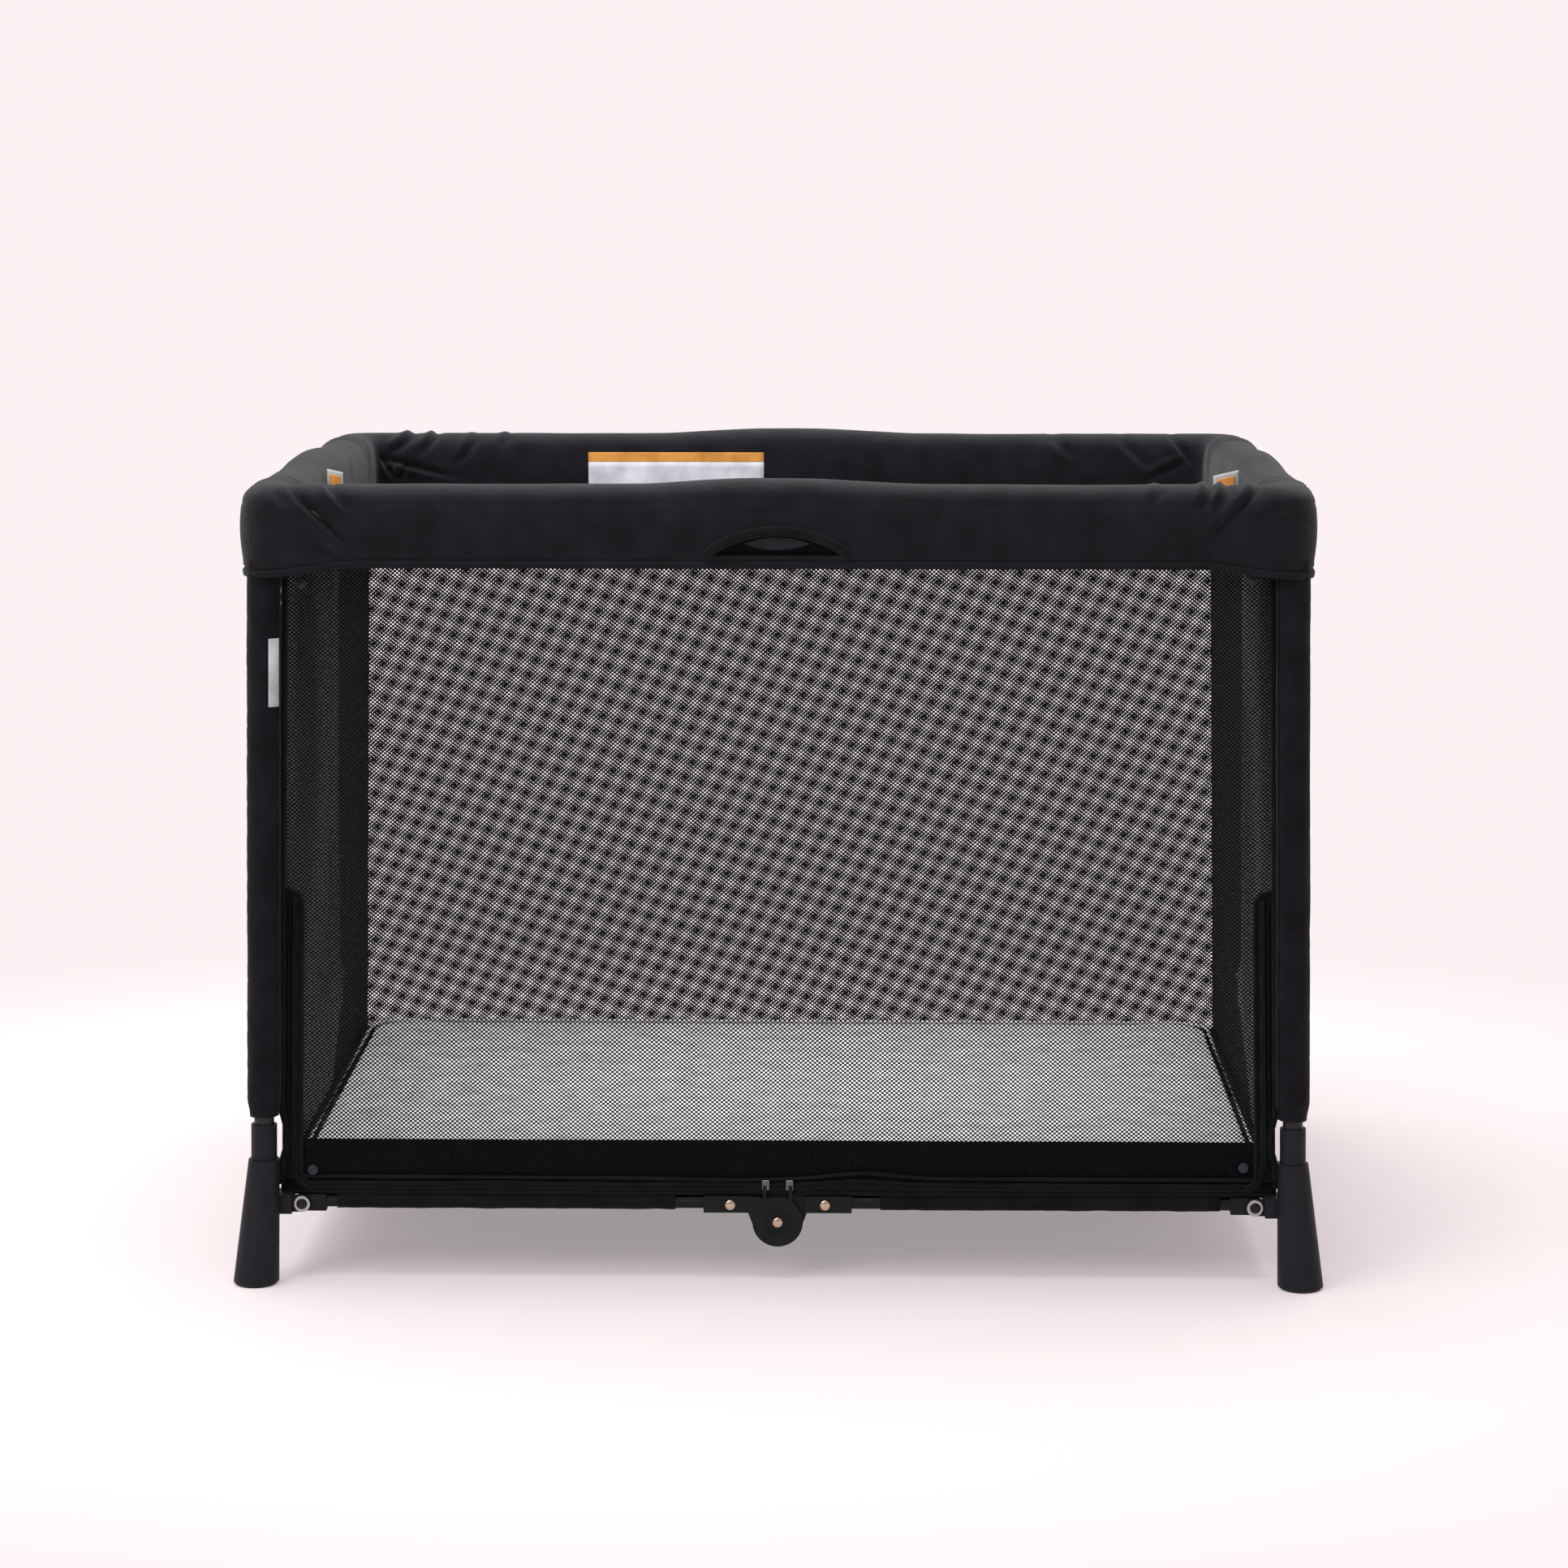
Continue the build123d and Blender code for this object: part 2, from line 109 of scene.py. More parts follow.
def wall_x(z):
    share = (z - WALL_FOOT) / (WALL_TOP - WALL_FOOT)
    return box("wall_right")[1].x - 0.0015 - 0.014 * share


# ---------------------------------------------------------------- material building
class Finish:
    """A node material, built with short calls."""

    def __init__(self, name, colour, rough):
        self.material = bpy.data.materials.new(name)
        self.material.use_nodes = True
        self.nodes = self.material.node_tree.nodes
        self.links = self.material.node_tree.links
        self.shader = self.nodes["Principled BSDF"]
        self.output = self.nodes["Material Output"]
        self.set("Base Color", (*colour, 1))
        self.set("Roughness", rough)
        self.place = self.nodes.new("ShaderNodeTexCoord")
        self.height = None

    def set(self, socket, value):
        self.shader.inputs[socket].default_value = value

    def node(self, kind, inputs=None, **fields):
        made = self.nodes.new(kind)
        for field, value in fields.items():
            setattr(made, field, value)
        for socket, value in (inputs or {}).items():
            if isinstance(value, bpy.types.NodeSocket):
                self.links.new(value, made.inputs[socket])
            else:
                made.inputs[socket].default_value = value
        return made

    def math(self, operation, first, second=0.0):
        return self.node("ShaderNodeMath", {0: first, 1: second}, operation=operation).outputs[0]

    def at(self, source="Object", scale=(1, 1, 1), turn=(0, 0, 0)):
        mapping = self.node("ShaderNodeMapping", {"Vector": self.place.outputs[source],
                                                 "Scale": scale, "Rotation": turn})
        return mapping.outputs[0]

    def noise(self, size, detail=3, scale=(1, 1, 1)):
        found = self.node("ShaderNodeTexNoise", {"Vector": self.at(scale=scale), "Scale": 1 / size,
                                                 "Detail": detail})
        return found.outputs["Fac"]

    def tint(self, factor, dark, light, low=0.3, high=0.7):
        """Colour the surface between two shades."""
        ramp = self.node("ShaderNodeValToRGB", {"Fac": factor})
        ramp.color_ramp.elements[0].position = low
        ramp.color_ramp.elements[0].color = (*dark, 1)
        ramp.color_ramp.elements[1].position = high
        ramp.color_ramp.elements[1].color = (*light, 1)
        self.links.new(ramp.outputs[0], self.shader.inputs["Base Color"])
        return ramp.outputs[0]

    def relief(self, height, depth, strength=1.0):
        """Add a bump on top of the ones already there."""
        made = self.node("ShaderNodeBump", {"Height": height, "Distance": depth, "Strength": strength})
        if self.height is not None:
            self.links.new(self.height, made.inputs["Normal"])
        self.height = made.outputs["Normal"]
        self.links.new(self.height, self.shader.inputs["Normal"])

    def rough_by(self, factor, low, high):
        made = self.node("ShaderNodeMapRange", {"Value": factor, "To Min": low, "To Max": high})
        self.links.new(made.outputs[0], self.shader.inputs["Roughness"])

    def weave(self, pitch, depth):
        """Crossed threads, as two sets of fine bands on each face of the cloth."""
        bands = []
        for direction in ("X", "Y", "Z"):
            wave = self.node("ShaderNodeTexWave", {"Vector": self.place.outputs["Object"],
                                                   "Scale": 0.314 / pitch, "Distortion": 0.4},
                             wave_type="BANDS", bands_direction=direction)
            bands.append(wave.outputs["Fac"])
        both = self.math("ADD", bands[0], self.math("ADD", bands[1], bands[2]))
        self.relief(both, depth)


def shade(value):
    """One sRGB level, 0 to 255, as a linear amount."""
    level = value / 255
    return level / 12.92 if level <= 0.04045 else ((level + 0.055) / 1.055) ** 2.4


def rgb(red, green, blue):
    return shade(red), shade(green), shade(blue)


def make_cloth(name, colour, rough=0.8, sheen=0.25, pitch=0.0011, soft=0.0012):
    made = Finish(name, colour, rough)
    light = tuple(min(1, c * 1.35 + 0.002) for c in colour)
    dark = tuple(c * 0.75 for c in colour)
    made.tint(made.noise(0.030, 5), dark, light, 0.3, 0.75)
    made.set("Sheen Weight", sheen)
    made.set("Sheen Roughness", 0.45)
    made.set("Specular IOR Level", 0.08)
    made.relief(made.noise(0.035, 4), soft)
    made.weave(pitch, 0.00012)
    made.rough_by(made.noise(0.02, 3), rough - 0.08, rough + 0.08)
    return made.material


def make_mesh_cloth(name, colour, across, open_share=0.0, turn=0.0):
    """Knitted netting: staggered diamond holes on the two axes of the wall."""
    made = Finish(name, colour, 0.75)
    made.set("Sheen Weight", 0.03)
    made.set("Specular IOR Level", 0.06)
    split = made.node("ShaderNodeSeparateXYZ", {"Vector": made.at(turn=(0, turn, 0))})
    first = made.math("COSINE", made.math("MULTIPLY", split.outputs[across], 2 * pi / MESH_WIDE))
    second = made.math("COSINE", made.math("MULTIPLY", split.outputs["Z"], 2 * pi / MESH_HIGH))
    lattice = made.math("MULTIPLY", first, second)
    hole = made.node("ShaderNodeMapRange", {"Value": lattice, "From Min": open_share - 0.06,
                                            "From Max": open_share + 0.06}).outputs[0]
    made.relief(lattice, -0.0004)
    clear = made.node("ShaderNodeBsdfTransparent")
    mix = made.node("ShaderNodeMixShader", {"Fac": hole})
    made.links.new(made.shader.outputs[0], mix.inputs[1])
    made.links.new(clear.outputs[0], mix.inputs[2])
    made.links.new(mix.outputs[0], made.output.inputs["Surface"])
    return made.material


def make_plastic(name, colour, rough=0.5, grain=0.0006):
    made = Finish(name, colour, rough)
    made.tint(made.noise(0.012, 4), tuple(c * 0.85 for c in colour), tuple(c * 1.2 for c in colour))
    made.set("Specular IOR Level", 0.14)
    made.relief(made.noise(grain, 2), 0.00006)
    made.rough_by(made.noise(0.008, 4), rough - 0.07, rough + 0.1)
    return made.material


def make_metal(name, colour, rough=0.3, metallic=1.0):
    made = Finish(name, colour, rough)
    made.set("Metallic", metallic)
    made.relief(made.noise(0.0004, 2, scale=(1, 1, 0.1)), 0.00002)
    made.rough_by(made.noise(0.006, 4), rough - 0.1, rough + 0.12)
    return made.material


MESH_WIDE = 0.0047
MESH_HIGH = 0.0041

cover_cloth = make_cloth("rim_cloth", rgb(20, 21, 26), 0.78, 0.14, soft=0.0006)
sleeve_cloth = make_cloth("sleeve_cloth", rgb(19, 18, 23), 0.8, 0.05, soft=0.0005)
panel_cloth = make_cloth("panel_cloth", rgb(15, 16, 20), 0.8, 0.04)
band_cloth = make_cloth("band_cloth", rgb(11, 12, 16), 0.82, 0.03, soft=0.0015)
binding_cloth = make_cloth("binding_tape", rgb(15, 16, 20), 0.7, 0.05, soft=0.0003)
pad_cloth = make_cloth("pad_cloth", rgb(240, 238, 243), 0.85, 0.05, soft=0.002)
floor_cloth = make_cloth("floor_cloth", rgb(14, 14, 18), 0.85, 0.04)
mesh_long = make_mesh_cloth("netting_long", rgb(14, 15, 19), "X", 0.06)
mesh_back = make_mesh_cloth("netting_back", rgb(14, 15, 19), "X", 0.06, turn=0.06)
mesh_end = make_mesh_cloth("netting_end", rgb(12, 13, 17), "Y", 0.14)
frame_plastic = make_plastic("frame_plastic", rgb(27, 27, 32), 0.5)
hinge_plastic = make_plastic("hinge_plastic", rgb(20, 22, 25), 0.45)
button_plastic = make_plastic("button_plastic", rgb(36, 37, 42), 0.4)
tube_paint = make_metal("tube_paint", rgb(30, 30, 33), 0.4, 0.4)
bolt_steel = make_metal("bolt_steel", rgb(168, 164, 164), 0.35)
socket_black = make_metal("socket_black", rgb(18, 18, 20), 0.45, 0.5)
rivet_metal = make_metal("rivet_metal", rgb(196, 170, 150), 0.25)
zip_metal = make_metal("zip_metal", rgb(96, 96, 102), 0.15)
zip_teeth = make_plastic("zip_teeth", rgb(20, 20, 24), 0.35)
snap_metal = make_metal("snap_metal", rgb(44, 45, 52), 0.4, 0.6)
tag_cloth = make_cloth("tag_cloth", rgb(200, 201, 203), 0.7, 0.1, pitch=0.0006, soft=0.0004)
label_paper = make_cloth("label_paper", rgb(214, 216, 224), 0.6, 0.0, pitch=0.0006, soft=0.0006)
label_orange = make_cloth("label_orange", rgb(236, 158, 78), 0.6, 0.0, pitch=0.0006, soft=0.0004)


# ---------------------------------------------------------------- mesh building
def finish_mesh(name, mesh, material, body=None, node=None, smooth=True):
    """Turn a bmesh into a piece that rides on a body."""
    data = bpy.data.meshes.new(name)
    mesh.to_mesh(data)
    mesh.free()
    if smooth:
        data.polygons.foreach_set("use_smooth", [True] * len(data.polygons))
    data.materials.append(material)
    piece = bpy.data.objects.new(name, data)
    bpy.context.scene.collection.objects.link(piece)
    if body:
        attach(piece, body)
    if node:
        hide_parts(node)
    return piece


def mapped(columns, rows, place, closed=False):
    """A grid whose two directions, each 0 to 1, are placed in space by a function."""
    mesh = bmesh.new()
    mesh.loops.layers.uv.new("UVMap")
    bmesh.ops.create_grid(mesh, x_segments=columns, y_segments=rows, size=0.5, calc_uvs=True)
    for vert in mesh.verts:
        vert.co = place(vert.co.x + 0.5, vert.co.y + 0.5)
    if closed:
        bmesh.ops.remove_doubles(mesh, verts=mesh.verts[:], dist=1e-5)
    mesh.normal_update()
    return mesh


def ruffle(mesh, amount):
    """Move every point along its normal by an amount that depends on its place."""
    mesh.normal_update()
    moves = [(vert, vert.normal * amount(vert.co)) for vert in mesh.verts]
    for vert, move in moves:
        vert.co += move


def thicken(piece, thickness, offset=0.0):
    made = piece.modifiers.new("thickness", "SOLIDIFY")
    made.thickness = thickness
    made.offset = offset
    return piece


def round_over(piece, width, segments=2):
    made = piece.modifiers.new("rounding", "BEVEL")
    made.width = width
    made.segments = segments
    made.limit_method = "ANGLE"
    return piece


def ring_frame(points, index, closed, normal, flat):
    """Where a ring of the piping sits: its Z runs along the line, its Y along the normal."""
    count = len(points)
    before = points[(index - 1) % count] if closed or index else points[index]
    after = points[(index + 1) % count] if closed or index < count - 1 else points[index]
    along = (after - before).normalized()
    up = Vector(normal)
    up = (up - along * up.dot(along)).normalized()
    turn = Matrix((up.cross(along), up, along)).transposed().to_4x4()
    return Matrix.Translation(points[index]) @ turn @ Matrix.Diagonal((1, flat, 1, 1))


def path_tube(name, points, radius, material, body=None, closed=False, flat=1.0, sides=8,
              normal=(0, -1, 0)):
    """Piping or tape: a ring extruded from point to point, flattened along the normal."""
    mesh = bmesh.new()
    frames = [ring_frame(points, index, closed, normal, flat) for index in range(len(points))]
    bmesh.ops.create_circle(mesh, segments=sides, radius=radius, matrix=frames[0])
    first = mesh.edges[:]
    edges = first
    for before, after in zip(frames, frames[1:]):
        grown = bmesh.ops.extrude_edge_only(mesh, edges=edges)["geom"]
        verts = [part for part in grown if isinstance(part, bmesh.types.BMVert)]
        edges = [part for part in grown if isinstance(part, bmesh.types.BMEdge) and part.is_boundary]
        bmesh.ops.transform(mesh, matrix=after @ before.inverted(), verts=verts)
    if closed:
        bmesh.ops.bridge_loops(mesh, edges=first + edges)
    else:
        bmesh.ops.edgeloop_fill(mesh, edges=first + edges)
    bmesh.ops.recalc_face_normals(mesh, faces=mesh.faces[:])
    return finish_mesh(name, mesh, material, body)


def add_box(mesh, centre, size, turn=Matrix.Identity(4)):
    """A box of a given size, centred at a point."""
    matrix = Matrix.Translation(centre) @ turn @ Matrix.Diagonal((*size, 1))
    bmesh.ops.create_cube(mesh, size=1, matrix=matrix)


def drum(mesh, centre, axis, radius, depth, sides=32, top=None):
    """A short round bar, centred at a point, along an axis."""
    turn = Vector(axis).to_track_quat("Z", "Y").to_matrix().to_4x4()
    return bmesh.ops.create_cone(mesh, cap_ends=True, segments=sides, radius1=radius,
                                 radius2=radius if top is None else top, depth=depth,
                                 matrix=Matrix.Translation(centre) @ turn)["verts"]


def waver(x, y, z):
    """A smooth random height, -1 to 1, that depends only on the place."""
    return noise.noise(Vector((x, y, z)))


def smooth_step(low, high, value):
    share = max(0.0, min(1.0, (value - low) / (high - low)))
    return share * share * (3 - 2 * share)


def crease(across, along, wide, long, seed):
    """A sharp-crested wrinkle: narrow across, long along."""
    wave = waver(across / wide, along / long, seed)
    return (1 - min(1.0, abs(wave) * 3.2)) ** 2


# ---------------------------------------------------------------- padded rim
CORNER_OUT = 0.036           # plan radius outside
CORNER_IN = 0.012
CORNER_CUT_X = 0.460         # the corner pieces end here
CORNER_CUT_Y = 0.310
BEND_X = 0.400               # the pieces over the end pivots reach this far in
BEND_Y = 0.250
MIDDLE_CUT = 0.088           # the middle pieces end here
SHOULDER = 0.020             # height of the rounded top
HEM_CORNER = -0.0015         # how far the hem hangs below or above the frame's hem
HEM_MIDDLE = 0.0085
HEM_BAND = 0.016             # finely divided part of the rim above the hem
GROOVE = 0.0082              # hem to the stitched groove
STRAIGHT_X = 220
STRAIGHT_Y = 150
ARC = 12
RIM_ROWS = 90


def crowded(share):
    """0 to 1, stepped more finely towards both ends."""
    off = 2 * share - 1
    return 0.45 * off + 0.55 * sin(pi * off / 2)


def rim_edge(side, share, half_x, half_y, radius):
    """A point on one side of a rounded rectangle; the corner arcs split between the sides."""
    arc = ARC / (2 * ARC + (STRAIGHT_X if side % 2 == 0 else STRAIGHT_Y))
    reach = (half_x if side % 2 == 0 else half_y) - radius
    depth = half_y if side % 2 == 0 else half_x
    if share < arc:
        angle = radians(45) * (1 - share / arc)
        along, out = -reach - radius * sin(angle), depth - radius + radius * cos(angle)
    elif share > 1 - arc:
        angle = radians(45) * (share - 1 + arc) / arc
        along, out = reach + radius * sin(angle), depth - radius + radius * cos(angle)
    else:
        along, out = reach * crowded((share - arc) / (1 - 2 * arc)), depth
    turned = ((along, -out), (out, along), (-along, out), (-out, -along))
    return turned[side]


def rim_profile(share, hem):
    """Across the rim: up the outside, over the top and down the inside.  Returns 0 outside to
    1 inside, the height, and the bulge away from the middle of the rim."""
    shoulder = RIM_TOP - SHOULDER
    if 0.4 <= share <= 0.6:
        angle = pi * (share - 0.4) / 0.2
        return 0.5 - 0.5 * cos(angle), shoulder + SHOULDER * sin(angle) ** 0.85, 0.0
    low = share if share < 0.5 else 1 - share
    if low < 0.2:
        height = HEM_BAND * low / 0.2
    else:
        height = HEM_BAND + (shoulder - hem - HEM_BAND) * (low - 0.2) / 0.2
    full = (height - HEM_BAND) / (shoulder - hem - HEM_BAND)
    bulge = 0.0026 * sin(pi * min(1.0, max(0.0, full)) * 0.9)
    bulge -= 0.0024 * exp(-((height - GROOVE) / 0.0016) ** 2)
    bulge += 0.0009 * sin(pi * min(1.0, height / GROOVE))
    return (0.0 if share < 0.5 else 1.0), hem + height, bulge


def hem_height(from_corner):
    return HEM + HEM_CORNER + (HEM_MIDDLE - HEM_CORNER) * smooth_step(0.020, 0.120, from_corner)


def rim_point(side, along, across):
    out_x, out_y = rim_edge(side, along, RIM_X, RIM_Y, CORNER_OUT)
    in_x, in_y = rim_edge(side, along, RIM_X - RIM_THICK, RIM_Y - RIM_THICK, CORNER_IN)
    from_corner = RIM_X - abs(out_x) if side % 2 == 0 else RIM_Y - abs(out_y)
    inside, height, bulge = rim_profile(across, hem_height(from_corner))
    place = Vector((out_x, out_y, 0)).lerp(Vector((in_x, in_y, 0)), inside)
    outward = Vector((out_x - in_x, out_y - in_y, 0)).normalized()
    place += outward * (bulge if inside < 0.5 else -bulge)
    from_middle = abs(place.x if side % 2 == 0 else place.y)
    high = smooth_step(RIM_TOP - 0.05, RIM_TOP, height)
    lift = HUMP * (1 - smooth_step(0.020, 0.150, from_middle)) * high
    place.z = height + lift
    return place


def fold_mark(along, down, start, end, width, depth):
    """One pulled fold: a groove from start to end with a soft ridge beside it."""
    run = Vector(end) - Vector(start)
    place = Vector((along, down)) - Vector(start)
    share = place.dot(run) / run.length_squared
    if not -0.2 < share < 1.2:
        return 0.0
    near = (run.x * place.y - run.y * place.x) / run.length / (0.85 * width)
    fade = smooth_step(-0.15, 0.3, share) * smooth_step(1.15, 0.6, share)
    return fade * 1.5 * depth * (0.75 * exp(-(near - 1.8) ** 2) - exp(-near * near))


# along, drop from the top of the rim, both ends; then half width and depth
FRONT_FOLDS = (
    ((-0.478, 0.004), (-0.414, 0.066), 0.0042, 0.0042), ((-0.446, -0.004), (-0.418, 0.026), 0.0042, 0.0034),
    ((-0.468, 0.054), (-0.424, 0.074), 0.0050, 0.0020), ((-0.500, 0.006), (-0.470, 0.020), 0.0060, 0.0016),
    ((0.427, -0.002), (0.415, 0.022), 0.0046, 0.0030), ((0.444, -0.002), (0.431, 0.020), 0.0042, 0.0026),
    ((0.472, 0.000), (0.452, 0.022), 0.0044, 0.0028), ((0.462, 0.012), (0.420, 0.054), 0.0046, 0.0024),
    ((0.492, 0.020), (0.470, 0.034), 0.0060, 0.0016), ((0.380, 0.004), (0.366, 0.016), 0.0050, 0.0016))
BACK_FOLDS = (
    ((-0.472, 0.026), (-0.385, 0.049), 0.0040, 0.0044), ((-0.472, 0.026), (-0.452, 0.052), 0.0040, 0.0036),
    ((-0.440, 0.034), (-0.454, 0.052), 0.0040, 0.0034), ((-0.432, 0.002), (-0.462, 0.022), 0.0046, 0.0034),
    ((-0.405, 0.000), (-0.425, 0.022), 0.0046, 0.0030), ((-0.360, 0.004), (-0.382, 0.034), 0.0046, 0.0028),
    ((-0.320, 0.002), (-0.332, 0.014), 0.0050, 0.0018), ((0.300, 0.002), (0.330, 0.026), 0.0060, 0.0022),
    ((0.380, 0.004), (0.420, 0.040), 0.0060, 0.0024), ((0.440, 0.002), (0.466, 0.034), 0.0046, 0.0032),
    ((0.455, 0.030), (0.410, 0.050), 0.0046, 0.0024))
END_FOLDS = (
    ((-0.300, 0.000), (-0.262, 0.044), 0.0050, 0.0030), ((-0.270, -0.002), (-0.250, 0.020), 0.0044, 0.0024),
    ((0.292, 0.002), (0.250, 0.050), 0.0050, 0.0030), ((0.262, 0.000), (0.240, 0.024), 0.0046, 0.0022),
    ((0.110, 0.010), (0.090, 0.040), 0.0060, 0.0014), ((-0.120, 0.010), (-0.098, 0.044), 0.0060, 0.0014))


def rim_wrinkles(place):
    """Padding and pulled folds of the rim cover."""
    down = RIM_TOP - place.z
    long_side = RIM_Y - abs(place.y) < RIM_THICK + 0.004
    end_side = RIM_X - abs(place.x) < RIM_THICK + 0.004
    along = place.x if long_side else place.y
    amount = 0.0009 * noise.noise(place * 8) + 0.0004 * noise.noise(place * 22)
    amount *= smooth_step(0.088, 0.074, down)
    folds = ()
    if long_side and place.y < 0:
        folds = FRONT_FOLDS
    elif long_side:
        folds = BACK_FOLDS
    elif end_side:
        folds = END_FOLDS
    inner = long_side and place.y < 0 and place.y > -RIM_Y + RIM_THICK * 0.6
    for start, end, width, depth in folds:
        if abs(along - (start[0] + end[0]) / 2) < 0.09:
            amount += fold_mark(along, down, start, end, width, depth * (0.4 if inner else 1.0))
    return amount


def rim_side(side):
    straight = STRAIGHT_X if side % 2 == 0 else STRAIGHT_Y
    return mapped(straight + 2 * ARC, RIM_ROWS, lambda s, t: rim_point(side, s, t))


def whole_rim():
    """All four sides joined, with their wrinkles."""
    whole = bmesh.new()
    for side in range(4):
        part = rim_side(side)
        data = bpy.data.meshes.new("side")
        part.to_mesh(data)
        part.free()
        whole.from_mesh(data)
        bpy.data.meshes.remove(data)
    bmesh.ops.remove_doubles(whole, verts=whole.verts[:], dist=1e-5)
    whole.normal_update()
    top = max(whole.faces, key=lambda face: face.calc_center_median().z)
    if top.normal.z < 0:
        bmesh.ops.reverse_faces(whole, faces=whole.faces[:])
    ruffle(whole, rim_wrinkles)
    return whole


def rim_part(whole, name, keep):
    """The faces of the rim whose middle passes a test, as a piece."""
    mesh = whole.copy()
    gone = [face for face in mesh.faces if not keep(face.calc_center_median())]
    bmesh.ops.delete(mesh, geom=gone, context="FACES")
    for edge in mesh.edges:
        edge.smooth = not edge.is_boundary
    return finish_mesh(name, mesh, cover_cloth)


ARCH_HALF = 0.064            # half width of the arched opening
ARCH_RISE = 0.0195
ARCH_FOOT = 0.0125           # hem to the opening


def arch_height(x, half=ARCH_HALF, rise=ARCH_RISE):
    """Height of the arch above its foot."""
    inside = max(0.0, 1 - (x / half) ** 2)
    return rise * inside ** 0.8


def cut_arch(piece, place):
    """Open the arched window in the outer skin of a middle piece, with a solid cutter."""
    foot = HEM + HEM_MIDDLE + ARCH_FOOT

    def outline(s, t):
        x = ARCH_HALF * (2 * s - 1) * 0.999
        return Vector(place(x, -RIM_Y - 0.012, foot + (0.0008 + arch_height(x)) * t))

    mesh = mapped(25, 2, outline)
    push = Vector(place(0, 0.030, 0)) - Vector(place(0, 0, 0))
    grown = bmesh.ops.extrude_face_region(mesh, geom=mesh.faces[:])["geom"]
    bmesh.ops.translate(mesh, verts=[v for v in grown if isinstance(v, bmesh.types.BMVert)], vec=push)
    bmesh.ops.remove_doubles(mesh, verts=mesh.verts[:], dist=1e-6)
    bmesh.ops.recalc_face_normals(mesh, faces=mesh.faces[:])
    data = bpy.data.meshes.new("cutter")
    mesh.to_mesh(data)
    mesh.free()
    cutter = bpy.data.objects.new("cutter", data)
    bpy.context.scene.collection.objects.link(cutter)
    thicken(piece, 0.002, -1)
    made = piece.modifiers.new("opening", "BOOLEAN")
    made.object = cutter
    made.operation = "DIFFERENCE"
    made.solver = "EXACT"
    view = bpy.context.evaluated_depsgraph_get()
    cut = bpy.data.meshes.new_from_object(piece.evaluated_get(view))
    piece.modifiers.clear()
    piece.data = cut
    bpy.data.objects.remove(cutter)
    return foot


def arch_binding(name, place, foot, body):
    """The bound edge over the arch."""
    steps = 32
    wide = ARCH_HALF + 0.006
    over = []
    for step in range(steps + 1):
        x = -wide + 2 * wide * step / steps
        height = foot + 0.001 + arch_height(x, wide, ARCH_RISE + 0.0045)
        over.append(Vector(place(x, -RIM_Y - 0.0032, height)))
    normal = Vector(place(0, -1, 0)) - Vector(place(0, 0, 0))
    return path_tube(name, over, 0.0052, binding_cloth, body, flat=0.36, sides=12, normal=normal)


def squash_rim(piece):
    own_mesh(piece)


def rim_rail(whole, side, sign, far_ends):
    """The cover of one top rail: a piece over the pivot at each end, two halves and the middle."""
    long_side = far_ends == HANDS
    run = 0 if long_side else 1
    cut, depth = (CORNER_CUT_X, CORNER_CUT_Y) if long_side else (CORNER_CUT_Y, CORNER_CUT_X)
    bend_end = BEND_X if long_side else BEND_Y

    def along(distance):
        return (distance, 0, 0) if long_side else (0, distance, 0)

    def place(x, y, z):
        return (x, -sign * y, z) if long_side else (sign * (-y + RIM_X - RIM_Y), x, z)

    def stretch(name, low, high, way):
        piece = rim_part(whole, name, lambda c: low < c[run] * way < high and c[1 - run] * sign > depth)
        thicken(piece, 0.002, -1)
        return piece

    made = []
    for far, way in far_ends:
        rail = f"{side}_{far}"
        bend = stretch("rim_bend_" + rail, bend_end, cut, way)
        if rail == "right_back":        # this end's pivot is open, so the piece stays with the rail
            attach(bend, "top_right_back")
            squash_rim(bend)
        else:
            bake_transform(bend)
        half = stretch("rim_" + rail, MIDDLE_CUT, bend_end, way)
        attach(half, "top_" + rail)
        squash_rim(half)
        made += [bend, half]
    middle = rim_part(whole, f"rim_{side}_middle",
                      lambda c: abs(c[run]) < MIDDLE_CUT and c[1 - run] * sign > depth)
    foot = cut_arch(middle, place)
    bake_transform(middle)
    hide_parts(f"rail_cover_{side}")
    binding = arch_binding(f"arch_binding_{side}", place, foot, None)
    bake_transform(binding)
    return made + [middle]


def make_rim():
    whole = whole_rim()
    pieces = []
    for name, sx, sy in CORNERS:
        piece = rim_part(whole, "rim_corner_" + name,
                         lambda c: c.x * sx > CORNER_CUT_X and c.y * sy > CORNER_CUT_Y)
        thicken(piece, 0.002, -1)
        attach(piece, "leg_" + name)
        pieces.append(piece)
    for end, sy in ENDS:
        pieces += rim_rail(whole, end, sy, HANDS)
    for hand, sx in HANDS:
        pieces += rim_rail(whole, hand, sx, ENDS)
    whole.free()


# ---------------------------------------------------------------- walls
NET_THICK = 0.00026
NET_FOOT = 0.1035            # netting starts above the zip
BAND_TOP = 0.143             # top of the solid band behind the netting
ZIP_Z = 0.0945
ZIP_SIDE_TOP = 0.400         # the side zips end here
ZIP_STRIP = 0.0195           # width of the strip that carries a side zip
ZIP_BEND = 0.015


def wall_sheet(name, low, high, span, place, columns, rows, material, body):
    """A sheet between two heights; span(z) is its half width."""
    mesh = mapped(columns, rows, lambda s, t: place((2 * s - 1) * span(low + (high - low) * t),
                                                  low + (high - low) * t))
    piece = finish_mesh(name, mesh, material, body)
    wide = 2 * span((low + high) / 2)
    return piece


def foot_wave(x):
    """The netting's bottom edge is pushed up a little where the pad presses."""
    return 0.0055 * exp(-((x - 0.085) / 0.045) ** 2) - 0.002 * exp(-((x + 0.05) / 0.08) ** 2)


def corner_pull(z):
    """The corner piping is drawn in just above the zip."""
    return 0.008 * exp(-((z - 0.145) / 0.018) ** 2)


